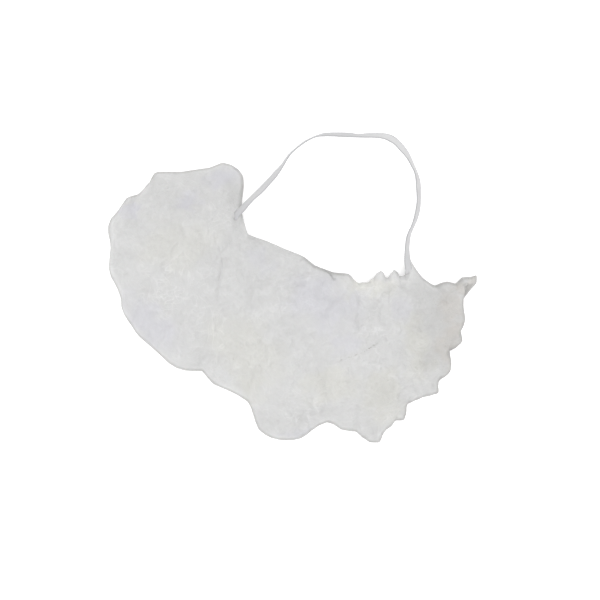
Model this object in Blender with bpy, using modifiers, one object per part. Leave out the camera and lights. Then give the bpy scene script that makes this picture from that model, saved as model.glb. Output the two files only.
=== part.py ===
"""Disposable beard cover: a gathered nonwoven pouch, the elastic thread in
its mouth, and a flat head strap.

The cover lies on its back panel on z = 0, with its mouth and its strap
towards +Y.  Tables are in millimetres.  A "station" numbers the sections
that cross the pouch, from its left corner (0) to its right tip (STATIONS);
both edges of a section carry the same station.
"""

import math
from collections import namedtuple

import bmesh
import bpy
import numpy as np
from mathutils import Vector

MM = 0.001

# ---------------------------------------------------------------- sizes, mm
STATIONS = 68            # sections along the pouch
TOP_CELLS = 12           # facets across the front panel
BACK_CELLS = 8           # facets across the back panel
WALL = 1.2               # cloth wall
EDGE_HEIGHT = 4.0        # outermost line of the folded edge above the table
EDGE_RADIUS = 5.0        # the back panel comes down to the table within this
END_ROUND = 24.0         # the crown fades within this of either end
CROWN_FULLNESS = 1.10    # below 1 flattens the crown and steepens the edges

MOUTH_CORNER = 6.0       # stations over which the back rim drops to the table
RIM_STEP = 2.0           # last facet of the back panel at its open rim

ELASTIC_DIAMETER = 1.2
ELASTIC_INSET = 3.2      # thread's axis behind the front panel's outer face
ELASTIC_HEIGHT = 2.3     # thread's axis over the table, along the back panel
ELASTIC_FROM_RIM = 5.0   # thread's axis back from the rim, across the section

STRAP_WIDTH = 4.6
STRAP_THICKNESS = 0.9
STRAP_CLEARANCE = 0.05   # strap above the table
STRAP_STEP = 4.0         # spacing of the strap's points along its route

# ------------------------------------------------------------------- tables
# Edge rows: a notch or a puff of the gathered edge.  `fold` is the share of
# the crown that the fold running in from it takes away (a puff adds with a
# minus), `reach` is how far across the section it runs.
Edge = namedtuple("Edge", "station x y fold reach")

UPPER_EDGE = [Edge(*row) for row in (
    (0, -119.5, 49.5, 0.00, 0.0),
    (2, -114.0, 59.5, 0.00, 0.0),
    (4, -107.0, 67.5, -0.03, 0.3),
    (6, -100.0, 70.5, 0.22, 0.4),
    (8, -89.0, 84.0, -0.05, 0.4),
    (11, -67.0, 85.0, 0.08, 0.4),
    (14, -45.5, 90.5, -0.06, 0.4),
    (16, -35.0, 86.0, 0.05, 0.4),
    (18, -32.5, 75.0, 0.00, 0.0),
    (20, -33.5, 60.0, 0.24, 0.5),
    (23, -29.0, 44.5, 0.10, 0.4),
    (25, -16.5, 39.5, 0.00, 0.4),
    (28, 4.5, 30.5, 0.08, 0.5),
    (31, 14.5, 23.5, -0.04, 0.4),
    (34, 26.0, 19.0, 0.00, 0.4),
    (36, 35.0, 17.5, -0.04, 0.4),
    (38, 41.5, 12.5, 0.26, 0.5),
    (40, 49.0, 13.5, 0.10, 0.4),
    (42, 57.0, 20.0, -0.05, 0.4),
    (44, 61.5, 16.0, 0.24, 0.4),
    (46, 65.5, 21.0, -0.04, 0.4),
    (48, 69.5, 17.0, 0.14, 0.4),
    (50, 74.5, 25.5, 0.00, 0.0),
    (53, 82.0, 18.5, 0.06, 0.4),
    (57, 91.5, 10.5, 0.28, 0.6),
    (61, 101.0, 13.0, -0.04, 0.4),
    (64, 106.5, 12.0, 0.16, 0.4),
    (66, 112.5, 15.5, 0.00, 0.0),
    (68, 119.5, 17.0, 0.00, 0.0),
)]

LOWER_EDGE = [Edge(*row) for row in (
    (0, -119.5, 49.5, 0.00, 0.0),
    (3, -117.5, 34.0, 0.20, 0.4),
    (6, -119.0, 21.0, -0.04, 0.4),
    (8, -113.5, 8.5, 0.00, 0.4),
    (10, -110.5, -3.0, 0.12, 0.4),
    (13, -99.0, -23.0, -0.05, 0.4),
    (17, -80.0, -39.5, 0.12, 0.5),
    (19, -69.5, -43.5, 0.00, 0.4),
    (21, -58.0, -44.0, 0.30, 0.6),
    (23, -51.0, -53.0, -0.05, 0.4),
    (26, -28.5, -64.5, 0.30, 0.7),
    (28, -21.5, -81.5, 0.00, 0.4),
    (31, -4.0, -89.5, -0.07, 0.5),
    (33, 12.5, -83.0, 0.00, 0.4),
    (34, 22.5, -77.5, 0.30, 0.6),
    (36, 31.5, -82.0, -0.05, 0.4),
    (38, 41.5, -84.0, 0.16, 0.5),
    (40, 50.5, -89.0, 0.00, 0.5),
    (41, 56.0, -90.5, -0.06, 0.5),
    (43, 60.0, -81.5, 0.10, 0.4),
    (44, 66.0, -76.0, 0.28, 0.6),
    (46, 72.5, -76.0, -0.05, 0.4),
    (48, 76.5, -66.5, 0.28, 0.6),
    (50, 94.0, -58.5, -0.05, 0.4),
    (52, 95.0, -49.0, 0.26, 0.6),
    (54, 102.5, -44.5, -0.04, 0.4),
    (56, 101.5, -32.0, 0.28, 0.7),
    (58, 109.5, -25.5, -0.03, 0.4),
    (60, 109.0, -19.5, 0.24, 0.6),
    (62, 111.5, -11.5, -0.03, 0.4),
    (64, 110.5, -0.5, 0.22, 0.7),
    (66, 115.5, 8.5, 0.00, 0.4),
    (68, 119.5, 17.0, 0.00, 0.0),
)]

# Crown rows: height of the front panel above its edge line.
Crown = namedtuple("Crown", "station height")

CROWN = [Crown(*row) for row in (
    (0, 16.0),
    (8, 23.0),
    (15, 26.0),
    (22, 24.0),
    (30, 27.0),
    (38, 25.0),
    (46, 24.0),
    (54, 19.0),
    (60, 13.0),
    (68, 7.0),
)]

# Mouth rows: between its corners the front panel ends `lift` degrees up the
# section, `front` mm inside the outline, and the back panel `back` mm inside.
Mouth = namedtuple("Mouth", "station lift front back")

MOUTH = [Mouth(*row) for row in (
    (17, 0.0, 0.0, 0.0),
    (20, 13.0, 0.0, 1.0),
    (24, 21.0, 0.0, 2.0),
    (29, 26.0, 1.0, 1.0),
    (31, 28.0, 2.8, 0.0),
    (36, 28.0, 2.8, 0.0),
    (38, 26.0, 0.0, 1.0),
    (46, 20.0, 0.0, 2.0),
    (50, 15.0, 0.0, 1.5),
    (54, 0.0, 0.0, 0.0),
)]

# Dent rows: valleys (minus: ridges) that cross the front panel, from one
# point to the other.
Dent = namedtuple("Dent", "x0 y0 x1 y1 width depth")

DENTS = [Dent(*row) for row in (
    (-38, 66, -52, 80, 7, 3.5),
    (-46, 26, -43, -6, 6, 3.5),
    (-84, 62, -70, 40, 9, 2.5),
    (-92, 10, -70, -12, 9, 2.5),
    (-4, 18, 24, 2, 6, 3.0),
    (26, -37, 56, -24, 7, 3.5),
    (-20, -20, 8, -34, 9, 2.5),
    (10, -58, 12, -78, 6, 2.5),
    (42, 8, 44, -16, 5, 2.5),
    (60, 12, 58, -10, 5, 2.5),
    (82, -36, 89, -56, 6, 2.5),
    (84, 4, 80, -18, 6, 2.5),
    (-66, 8, -30, 22, 9, -2.5),
    (-12, -48, 34, -56, 10, -2.5),
    (62, -30, 72, -50, 8, -2.0),
)]

# Strap rows: the route from the mouth's left corner to its right corner.
# `roll` turns the strap from flat (0) towards standing on its edge (90), and
# `lift` raises it off the table towards the mouth.
Strap = namedtuple("Strap", "x y roll lift")

STRAP = [Strap(*row) for row in (
    (-35.2, 56.0, 0, 5.0),
    (-31.8, 59.8, 0, 4.9),
    (-27.4, 65.3, 8, 3.9),
    (-20.9, 71.8, 12, 1.9),
    (-14.4, 78.9, 8, 0.4),
    (-9.2, 85.3, 30, 0.0),
    (-4.2, 92.5, 62, 0.0),
    (-1.2, 97.0, 74, 0.0),
    (3.6, 101.4, 76, 0.0),
    (11.3, 106.2, 72, 0.0),
    (20.0, 109.3, 66, 0.0),
    (29.0, 109.5, 42, 0.0),
    (37.0, 109.0, 48, 0.0),
    (44.0, 108.7, 58, 0.0),
    (53.0, 109.2, 34, 0.0),
    (61.8, 108.0, 8, 0.0),
    (67.5, 104.9, 6, 0.0),
    (72.1, 99.7, 24, 0.0),
    (76.5, 93.2, 42, 0.0),
    (80.0, 86.6, 44, 0.0),
    (82.3, 78.0, 34, 0.0),
    (82.7, 69.0, 36, 0.0),
    (81.8, 59.5, 46, 0.0),
    (79.1, 51.0, 58, 0.0),
    (75.8, 44.0, 54, 0.4),
    (74.6, 37.0, 30, 2.0),
    (74.4, 30.0, 8, 4.2),
    (74.3, 25.5, 0, 4.7),
    (74.2, 21.0, 0, 4.7),
)]

COLLECTION = "beard_cover"


# ---------------------------------------------------------------- functions
def hermite(knots, values, at):
    """Smooth curve through `values` at `knots`, read at the numbers `at`."""
    knots = np.asarray(knots, float)
    values = np.asarray(values, float)
    at = np.asarray(at, float)
    slope = np.empty_like(values)
    slope[1:-1] = (values[2:] - values[:-2]) / (knots[2:] - knots[:-2])[:, None]
    slope[0] = (values[1] - values[0]) / (knots[1] - knots[0])
    slope[-1] = (values[-1] - values[-2]) / (knots[-1] - knots[-2])
    cell = np.clip(np.searchsorted(knots, at, side="right") - 1, 0, len(knots) - 2)
    span = (knots[cell + 1] - knots[cell])[:, None]
    t = ((at - knots[cell]) / span[:, 0])[:, None]
    return ((2 * t**3 - 3 * t**2 + 1) * values[cell]
            + (t**3 - 2 * t**2 + t) * span * slope[cell]
            + (-2 * t**3 + 3 * t**2) * values[cell + 1]
            + (t**3 - t**2) * span * slope[cell + 1])


def edge_points(edge, stations):
    return hermite([e.station for e in edge], [(e.x, e.y) for e in edge], stations)


def smoothstep(t):
    t = np.clip(t, 0.0, 1.0)
    return t * t * (3.0 - 2.0 * t)


def mouth_open(stations):
    """0 where the two panels are joined, 1 where the back rim lies flat."""
    left = smoothstep((stations - MOUTH[0].station) / MOUTH_CORNER)
    right = smoothstep((MOUTH[-1].station - stations) / MOUTH_CORNER)
    return np.minimum(left, right)


def mouth_column(name, stations):
    """A column of the mouth's table, and 0 outside the mouth."""
    return np.interp(stations, [m.station for m in MOUTH], [getattr(m, name) for m in MOUTH])


def rim_turn(stations):
    """Turn at which the front panel ends at its rim."""
    return np.radians(mouth_column("lift", stations))


def section_ends(stations):
    """The section's two ends in plan, and its length."""
    upper = edge_points(UPPER_EDGE, stations)
    lower = edge_points(LOWER_EDGE, stations)
    return upper, lower, np.linalg.norm(lower - upper, axis=1)


def crown_height(stations):
    """Height over the edge line, rounded off towards the two ends."""
    upper, lower, _ = section_ends(stations)
    middle = (upper + lower) / 2
    height = hermite([c.station for c in CROWN], [(c.height,) for c in CROWN], stations)[:, 0]
    for row in (LOWER_EDGE[0], LOWER_EDGE[-1]):
        away = np.linalg.norm(middle - np.array((row.x, row.y)), axis=1)
        t = np.clip(away / END_ROUND, 0.0, 1.0)
        height = height * np.sqrt(1.0 - (1.0 - t) ** 2)
    return height


def fold_share(stations, across):
    """Share of the crown that the folds at both edges take away."""
    share = np.zeros(np.broadcast(stations, across).shape)
    for edge, run in ((UPPER_EDGE, across), (LOWER_EDGE, 1.0 - across)):
        for row in edge:
            if row.fold:
                beside = np.exp(-((stations - row.station) / 1.1) ** 2)
                share = share + row.fold * beside * (1.0 - smoothstep(run / row.reach))
    return share


def dent_depth(x, y):
    depth = np.zeros_like(x)
    for d in DENTS:
        run = np.array((d.x1 - d.x0, d.y1 - d.y0), float)
        t = np.clip(((x - d.x0) * run[0] + (y - d.y0) * run[1]) / run.dot(run), 0.0, 1.0)
        off = np.hypot(x - d.x0 - t * run[0], y - d.y0 - t * run[1])
        depth = depth + d.depth * np.exp(-(off / d.width) ** 2)
    return depth


def front_panel(stations, turns):
    """Outer face of the front panel at each station and turn.  A turn is an
    angle over the section, from 0 at the upper edge to pi at the lower."""
    upper, lower, length = section_ends(stations)
    start = (mouth_column("front", stations) / np.maximum(length, 1.0))[:, None]
    lost = (1.0 - np.cos(rim_turn(stations)[:, None])) / 2.0
    across = start + (1.0 - start) * ((1.0 - np.cos(turns)) / 2.0 - lost) / (1.0 - lost)
    x = upper[:, :1] + (lower - upper)[:, :1] * across
    y = upper[:, 1:] + (lower - upper)[:, 1:] * across
    rise = np.sin(turns).clip(0.0) ** CROWN_FULLNESS
    crown = crown_height(stations)[:, None] * (1.0 - fold_share(stations[:, None], across))
    inner = smoothstep(crown * rise / 12.0)
    z = EDGE_HEIGHT + crown * rise - dent_depth(x, y) * inner
    return np.stack((x, y, z), axis=-1)


def back_panel(stations, cells):
    """Outer face of the back panel, from the lower edge to the upper edge:
    down round the folded edge, flat along the table, and up again, or flat
    to its rim where the mouth is open."""
    upper, lower, length = section_ends(stations)
    radius = np.minimum(EDGE_RADIUS, 0.42 * length)
    opened = mouth_open(stations)
    inset = mouth_column("back", stations)
    rows = []
    for k in range(cells + 1):
        if k < 2:                                   # rounding at the lower edge
            turn = math.pi / 4 * k
            away = radius * (1 - math.cos(turn))
            z = EDGE_HEIGHT * (1 - math.sin(turn)) * np.ones_like(length)
        elif k > cells - 2:                         # rounding at the upper edge
            turn = math.pi / 4 * (cells - k)
            step = radius * (1 - math.cos(turn)) * (1 - opened)
            away = length - inset - step - RIM_STEP * (cells - k) * opened
            z = EDGE_HEIGHT * (1 - math.sin(turn)) * (1 - opened)
        else:
            t = (k - 2) / (cells - 4)
            away = radius + (length - 2 * radius - inset) * t
            z = np.zeros_like(length)
        s = (away / np.maximum(length, 1e-9))[:, None]
        plan = lower + (upper - lower) * s
        rows.append(np.column_stack((plan, z)))
    return np.stack(rows, axis=1)


def make_collection(name):
    collection = bpy.data.collections.new(name)
    bpy.context.scene.collection.children.link(collection)
    return collection


def make_material(name, color, roughness):
    material = bpy.data.materials.new(name)
    material.use_nodes = True
    shader = material.node_tree.nodes["Principled BSDF"]
    shader.inputs["Base Color"].default_value = (*color, 1.0)
    shader.inputs["Roughness"].default_value = roughness
    shader.inputs["Metallic"].default_value = 0.0
    return material


def build_pouch(collection, material):
    stations = np.arange(STATIONS + 1, dtype=float)
    start = rim_turn(stations)
    share = np.linspace(0.0, 1.0, TOP_CELLS + 1)
    turns = start[:, None] + (math.pi - start[:, None]) * share
    front = front_panel(stations, turns)
    back = back_panel(stations, BACK_CELLS)

    bm = bmesh.new()
    front_verts, back_verts = [], []
    for i in range(STATIONS + 1):
        joined = mouth_open(stations[i:i + 1])[0] == 0.0
        if i in (0, STATIONS):                      # the section shrinks to a point
            tip = bm.verts.new(Vector(front[i, 0]) * MM)
            front_verts.append([tip] * (TOP_CELLS + 1))
            back_verts.append([tip] * (BACK_CELLS + 1))
            continue
        top = [bm.verts.new(Vector(p) * MM) for p in front[i]]
        low = [bm.verts.new(Vector(p) * MM) for p in back[i][1:-1]]
        rim = top[0] if joined else bm.verts.new(Vector(back[i][-1]) * MM)
        front_verts.append(top)
        back_verts.append([top[-1]] + low + [rim])

    def skin(columns, cells):
        for i in range(STATIONS):
            for k in range(cells):
                ring = (columns[i][k], columns[i][k + 1],
                        columns[i + 1][k + 1], columns[i + 1][k])
                corners = list(dict.fromkeys(ring))
                if len(corners) >= 3:
                    bm.faces.new(corners)

    skin(front_verts, TOP_CELLS)
    skin(back_verts, BACK_CELLS)
    bmesh.ops.triangulate(bm, faces=bm.faces)

    mesh = bpy.data.meshes.new("pouch")
    bm.to_mesh(mesh)
    bm.free()
    mesh.shade_smooth()
    pouch = bpy.data.objects.new("pouch", mesh)
    pouch.data.materials.append(material)
    collection.objects.link(pouch)
    cloth = pouch.modifiers.new("cloth", "SOLIDIFY")
    cloth.thickness = WALL * MM
    cloth.offset = -1.0
    cloth.use_even_offset = False
    return pouch


def behind_front(station, turn, inset):
    """Point behind the front panel's outer face, inside the pouch."""
    step = 0.02
    s = np.array((station, station + step, station))
    t = np.array(((turn,), (turn,), (turn + step,)))
    here, along, over = front_panel(s, t)[:, 0]
    normal = np.cross(along - here, over - here)
    normal = normal / np.linalg.norm(normal)
    if normal[2] < 0:
        normal = -normal
    return here - normal * inset


def elastic_route():
    """Closed route just inside the mouth: under the front rim from corner
    to corner, and back over the back panel."""
    stations = np.arange(MOUTH[0].station + 4.0, MOUTH[-1].station - 3.5, 1.0)
    upper, lower, length = section_ends(stations)
    front = []
    for s, rim, span in zip(stations, rim_turn(stations), length):
        turn = math.acos(math.cos(rim) - 2 * ELASTIC_FROM_RIM / span)
        front.append(behind_front(s, turn, ELASTIC_INSET))
    heights = np.array([p[2] for p in front])       # stay under the folds beside it
    beside = np.pad(heights, 2, mode="edge")
    for k, p in enumerate(front):
        p[2] = beside[k:k + 5].min()
    inward = (lower - upper) / length[:, None]
    inset = mouth_column("back", stations)[:, None] + ELASTIC_FROM_RIM
    back = np.column_stack((upper + inward * inset, np.full(len(stations), ELASTIC_HEIGHT)))
    return np.array(front + list(back[::-1]))


def smooth_closed(points, passes):
    for _ in range(passes):
        points = (np.roll(points, 1, axis=0) + 2 * points + np.roll(points, -1, axis=0)) / 4
    return points


def poly_curve(name, points, cyclic):
    curve = bpy.data.curves.new(name, "CURVE")
    curve.dimensions = "3D"
    curve.use_fill_caps = not cyclic
    spline = curve.splines.new("POLY")
    spline.points.add(len(points) - 1)
    for target, p in zip(spline.points, points):
        target.co = (p[0] * MM, p[1] * MM, p[2] * MM, 1.0)
    spline.use_cyclic_u = cyclic
    return curve, spline


def build_elastic(collection, material):
    curve, spline = poly_curve("mouth_elastic", smooth_closed(elastic_route(), 1), True)
    curve.bevel_depth = ELASTIC_DIAMETER / 2 * MM
    curve.bevel_resolution = 1
    spline.use_smooth = True
    curve.materials.append(material)
    elastic = bpy.data.objects.new("mouth_elastic", curve)
    collection.objects.link(elastic)
    return elastic


def strap_route():
    """Evenly spaced points along the strap, with the roll at each."""
    rows = np.array([(r.x, r.y, r.roll, r.lift) for r in STRAP], float)
    chord = np.concatenate(((0.0,), np.cumsum(np.hypot(*np.diff(rows[:, :2], axis=0).T))))
    fine = hermite(chord, rows, np.linspace(0.0, chord[-1], 1200))
    run = np.concatenate(((0.0,), np.cumsum(np.hypot(*np.diff(fine[:, :2], axis=0).T))))
    count = int(round(run[-1] / STRAP_STEP))
    at = np.linspace(0.0, run[-1], count + 1)
    x, y, roll, lift = (np.interp(at, run, fine[:, c]) for c in range(4))
    roll = np.radians(roll)
    half = (STRAP_WIDTH * np.abs(np.sin(roll)) + STRAP_THICKNESS * np.abs(np.cos(roll))) / 2
    z = half + STRAP_CLEARANCE + np.maximum(lift, 0.0)
    return np.column_stack((x, y, z)), roll


def build_strap(collection, material):
    """A flat band: rounded-rectangle sections that roll along the route."""
    points, roll = strap_route()
    corner = STRAP_THICKNESS * 0.32
    a, b = STRAP_WIDTH / 2, STRAP_THICKNESS / 2
    outline = [(a, b - corner), (a - corner, b), (-a + corner, b), (-a, b - corner),
               (-a, -b + corner), (-a + corner, -b), (a - corner, -b), (a, -b + corner)]
    heading = np.gradient(points, axis=0)
    heading /= np.linalg.norm(heading, axis=1)[:, None]

    bm = bmesh.new()
    rings = []
    for p, ahead, angle in zip(points, heading, roll):
        ahead = Vector(ahead)
        side = ahead.cross(Vector((0, 0, 1))).normalized()
        lift = side.cross(ahead)
        wide = side * math.cos(angle) + lift * math.sin(angle)
        thick = lift * math.cos(angle) - side * math.sin(angle)
        rings.append([bm.verts.new((Vector(p) + wide * u + thick * v) * MM)
                      for u, v in outline])
    for near, far in zip(rings, rings[1:]):
        for k in range(len(outline)):
            n = (k + 1) % len(outline)
            bm.faces.new((near[k], near[n], far[n], far[k]))
    bm.faces.new(rings[0])
    bm.faces.new(list(reversed(rings[-1])))
    bmesh.ops.recalc_face_normals(bm, faces=bm.faces)
    bmesh.ops.triangulate(bm, faces=bm.faces)

    mesh = bpy.data.meshes.new("head_strap")
    bm.to_mesh(mesh)
    bm.free()
    mesh.shade_smooth()
    strap = bpy.data.objects.new("head_strap", mesh)
    strap.data.materials.append(material)
    collection.objects.link(strap)
    return strap


def main():
    for obj in list(bpy.data.objects):
        bpy.data.objects.remove(obj, do_unlink=True)

    collection = make_collection(COLLECTION)
    cloth = make_material("nonwoven_white", (0.70, 0.70, 0.69), 0.75)
    band = make_material("strap_white", (0.66, 0.66, 0.66), 0.65)
    thread = make_material("elastic_white", (0.78, 0.77, 0.74), 0.5)

    base = bpy.data.objects.new("beard_cover_base", None)
    collection.objects.link(base)
    for piece in (build_pouch(collection, cloth),
                  build_elastic(collection, thread),
                  build_strap(collection, band)):
        piece.parent = base


main()
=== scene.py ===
"""Looks of the beard cover: a crumpled, gathered nonwoven pouch with its
hemmed mouth, the elastic thread in the hem, and the flat head strap.

Tables are in millimetres, in the same frame as the model.  A "station"
numbers the sections that cross the pouch, from its left corner to its right
tip.  The base form repeats the model's tables; the crumples are creases
laid over it and then relaxed as cloth that is larger than the form it is
held in.
"""

import math
from collections import namedtuple

import bmesh
import bpy
import numpy as np
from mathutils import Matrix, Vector


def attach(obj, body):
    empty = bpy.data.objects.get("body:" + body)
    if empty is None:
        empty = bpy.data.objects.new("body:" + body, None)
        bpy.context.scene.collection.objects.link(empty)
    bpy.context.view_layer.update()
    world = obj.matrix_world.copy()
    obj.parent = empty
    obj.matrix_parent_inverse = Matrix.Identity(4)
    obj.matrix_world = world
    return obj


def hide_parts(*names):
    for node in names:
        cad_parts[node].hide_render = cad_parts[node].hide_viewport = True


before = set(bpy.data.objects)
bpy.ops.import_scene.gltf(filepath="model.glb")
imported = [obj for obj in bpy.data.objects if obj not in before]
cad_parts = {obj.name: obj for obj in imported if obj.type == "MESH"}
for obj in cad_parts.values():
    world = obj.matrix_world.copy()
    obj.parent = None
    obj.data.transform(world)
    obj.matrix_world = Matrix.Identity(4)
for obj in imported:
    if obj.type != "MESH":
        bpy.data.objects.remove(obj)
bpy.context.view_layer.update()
MM = 0.001

# ------------------------------------------------------------------ camera
# The photo looks straight down; one of its pixels is 0.65 mm at the outline.
PIXEL = 0.65
VIEW_CENTRE = ((300 - 292.5) * PIXEL, (302.5 - 300) * PIXEL)
LENS = 85.0
SENSOR = 36.0
OUTLINE_Z = 4.0

camera_data = bpy.data.cameras.new("camera")
camera_data.lens = LENS
camera_data.sensor_width = SENSOR
camera_data.clip_start = 0.05
camera_data.clip_end = 20.0
camera = bpy.data.objects.new("camera", camera_data)
bpy.context.scene.collection.objects.link(camera)
camera.location = (VIEW_CENTRE[0] * MM, VIEW_CENTRE[1] * MM,
                   (OUTLINE_Z + 600 * PIXEL * LENS / SENSOR) * MM)
bpy.context.scene.camera = camera


# ------------------------------------------------- the model's own form, mm
STATIONS = 68
EDGE_HEIGHT = 4.0
EDGE_RADIUS = 5.0
END_ROUND = 24.0
CROWN_FULLNESS = 1.10
MOUTH_CORNER = 6.0

ELASTIC_DIAMETER = 1.2
ELASTIC_INSET = 3.2
ELASTIC_HEIGHT = 2.3
ELASTIC_FROM_RIM = 5.0

STRAP_THICKNESS = 0.9
STRAP_CLEARANCE = 0.05
BAND_WIDTH = 4.95
BAND_RAMP = 0.45         # how steeply it climbs onto the cloth
STRAP_SINK = 2.3         # how deep its ends go into the cloth

Edge = namedtuple("Edge", "station x y fold reach")

UPPER_EDGE = [Edge(*row) for row in (
    (0, -119.5, 49.5, 0.00, 0.0),
    (2, -114.0, 59.5, 0.00, 0.0),
    (4, -107.0, 67.5, -0.03, 0.3),
    (6, -100.0, 70.5, 0.22, 0.4),
    (8, -89.0, 84.0, -0.05, 0.4),
    (11, -67.0, 85.0, 0.08, 0.4),
    (14, -45.5, 90.5, -0.06, 0.4),
    (16, -35.0, 86.0, 0.05, 0.4),
    (18, -32.5, 75.0, 0.00, 0.0),
    (20, -33.5, 60.0, 0.24, 0.5),
    (23, -29.0, 44.5, 0.10, 0.4),
    (25, -16.5, 39.5, 0.00, 0.4),
    (28, 4.5, 30.5, 0.08, 0.5),
    (31, 14.5, 23.5, -0.04, 0.4),
    (34, 26.0, 19.0, 0.00, 0.4),
    (36, 35.0, 17.5, -0.04, 0.4),
    (38, 41.5, 12.5, 0.26, 0.5),
    (40, 49.0, 13.5, 0.10, 0.4),
    (42, 57.0, 20.0, -0.05, 0.4),
    (44, 61.5, 16.0, 0.24, 0.4),
    (46, 65.5, 21.0, -0.04, 0.4),
    (48, 69.5, 17.0, 0.14, 0.4),
    (50, 74.5, 25.5, 0.00, 0.0),
    (53, 82.0, 18.5, 0.06, 0.4),
    (57, 91.5, 10.5, 0.28, 0.6),
    (61, 101.0, 13.0, -0.04, 0.4),
    (64, 106.5, 12.0, 0.16, 0.4),
    (66, 112.5, 15.5, 0.00, 0.0),
    (68, 119.5, 17.0, 0.00, 0.0),
)]

LOWER_EDGE = [Edge(*row) for row in (
    (0, -119.5, 49.5, 0.00, 0.0),
    (3, -117.5, 34.0, 0.20, 0.4),
    (6, -119.0, 21.0, -0.04, 0.4),
    (8, -113.5, 8.5, 0.00, 0.4),
    (10, -110.5, -3.0, 0.12, 0.4),
    (13, -99.0, -23.0, -0.05, 0.4),
    (17, -80.0, -39.5, 0.12, 0.5),
    (19, -69.5, -43.5, 0.00, 0.4),
    (21, -58.0, -44.0, 0.30, 0.6),
    (23, -51.0, -53.0, -0.05, 0.4),
    (26, -28.5, -64.5, 0.30, 0.7),
    (28, -21.5, -81.5, 0.00, 0.4),
    (31, -4.0, -89.5, -0.07, 0.5),
    (33, 12.5, -83.0, 0.00, 0.4),
    (34, 22.5, -77.5, 0.30, 0.6),
    (36, 31.5, -82.0, -0.05, 0.4),
    (38, 41.5, -84.0, 0.16, 0.5),
    (40, 50.5, -89.0, 0.00, 0.5),
    (41, 56.0, -90.5, -0.06, 0.5),
    (43, 60.0, -81.5, 0.10, 0.4),
    (44, 66.0, -76.0, 0.28, 0.6),
    (46, 72.5, -76.0, -0.05, 0.4),
    (48, 76.5, -66.5, 0.28, 0.6),
    (50, 94.0, -58.5, -0.05, 0.4),
    (52, 95.0, -49.0, 0.26, 0.6),
    (54, 102.5, -44.5, -0.04, 0.4),
    (56, 101.5, -32.0, 0.28, 0.7),
    (58, 109.5, -25.5, -0.03, 0.4),
    (60, 109.0, -19.5, 0.24, 0.6),
    (62, 111.5, -11.5, -0.03, 0.4),
    (64, 110.5, -0.5, 0.22, 0.7),
    (66, 115.5, 8.5, 0.00, 0.4),
    (68, 119.5, 17.0, 0.00, 0.0),
)]

# The cloth's edges, followed more closely than the model's: station, x, y.
CLOTH_UPPER = (
    (0, -119.5, 49.5), (1, -117.4, 54.8), (2, -113.5, 59.2), (3, -110.5, 63.5),
    (4, -107.3, 68.1), (6, -99.9, 70.4), (6.5, -96.7, 73.4), (7, -94.0, 76.7),
    (7.5, -90.9, 79.9), (8, -89.0, 84.5), (9.2, -80.2, 84.8), (10.4, -71.4, 84.9),
    (11, -67.2, 85.6), (12.2, -58.3, 86.9), (12.8, -53.9, 87.5), (13.4, -49.7, 89.1),
    (14, -45.4, 90.8), (15, -39.8, 89.4), (16, -35.0, 86.2), (16.8, -32.0, 81.8),
    (18, -31.7, 75.0), (19, -32.5, 67.5), (20, -33.2, 60.0), (23, -28.8, 44.1),
    (25, -15.9, 39.2), (26.6, -4.5, 34.2), (28, 4.5, 30.7), (29, 8.1, 28.7),
    (31, 14.5, 23.7), (34, 26.0, 19.4), (36, 36.0, 18.3), (37, 38.8, 15.6),
    (38, 42.4, 12.3), (40, 49.0, 13.5), (42, 56.6, 20.2), (44, 61.2, 16.0),
    (46, 65.6, 21.0), (48, 69.5, 17.2), (49.2, 72.6, 17.8), (49.7, 73.4, 22.5),
    (50.1, 73.6, 29.0), (50.5, 75.4, 29.7), (51.2, 77.2, 26.0), (52.2, 80.5, 20.9),
    (53.8, 84.6, 15.9), (55.8, 90.0, 12.0), (57, 92.6, 11.0), (58.4, 96.5, 12.6),
    (60.2, 100.4, 13.6), (62.6, 106.1, 12.4), (64.3, 110.2, 16.3), (66.4, 116.0, 16.6),
    (68, 119.6, 17.8),
)
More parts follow.
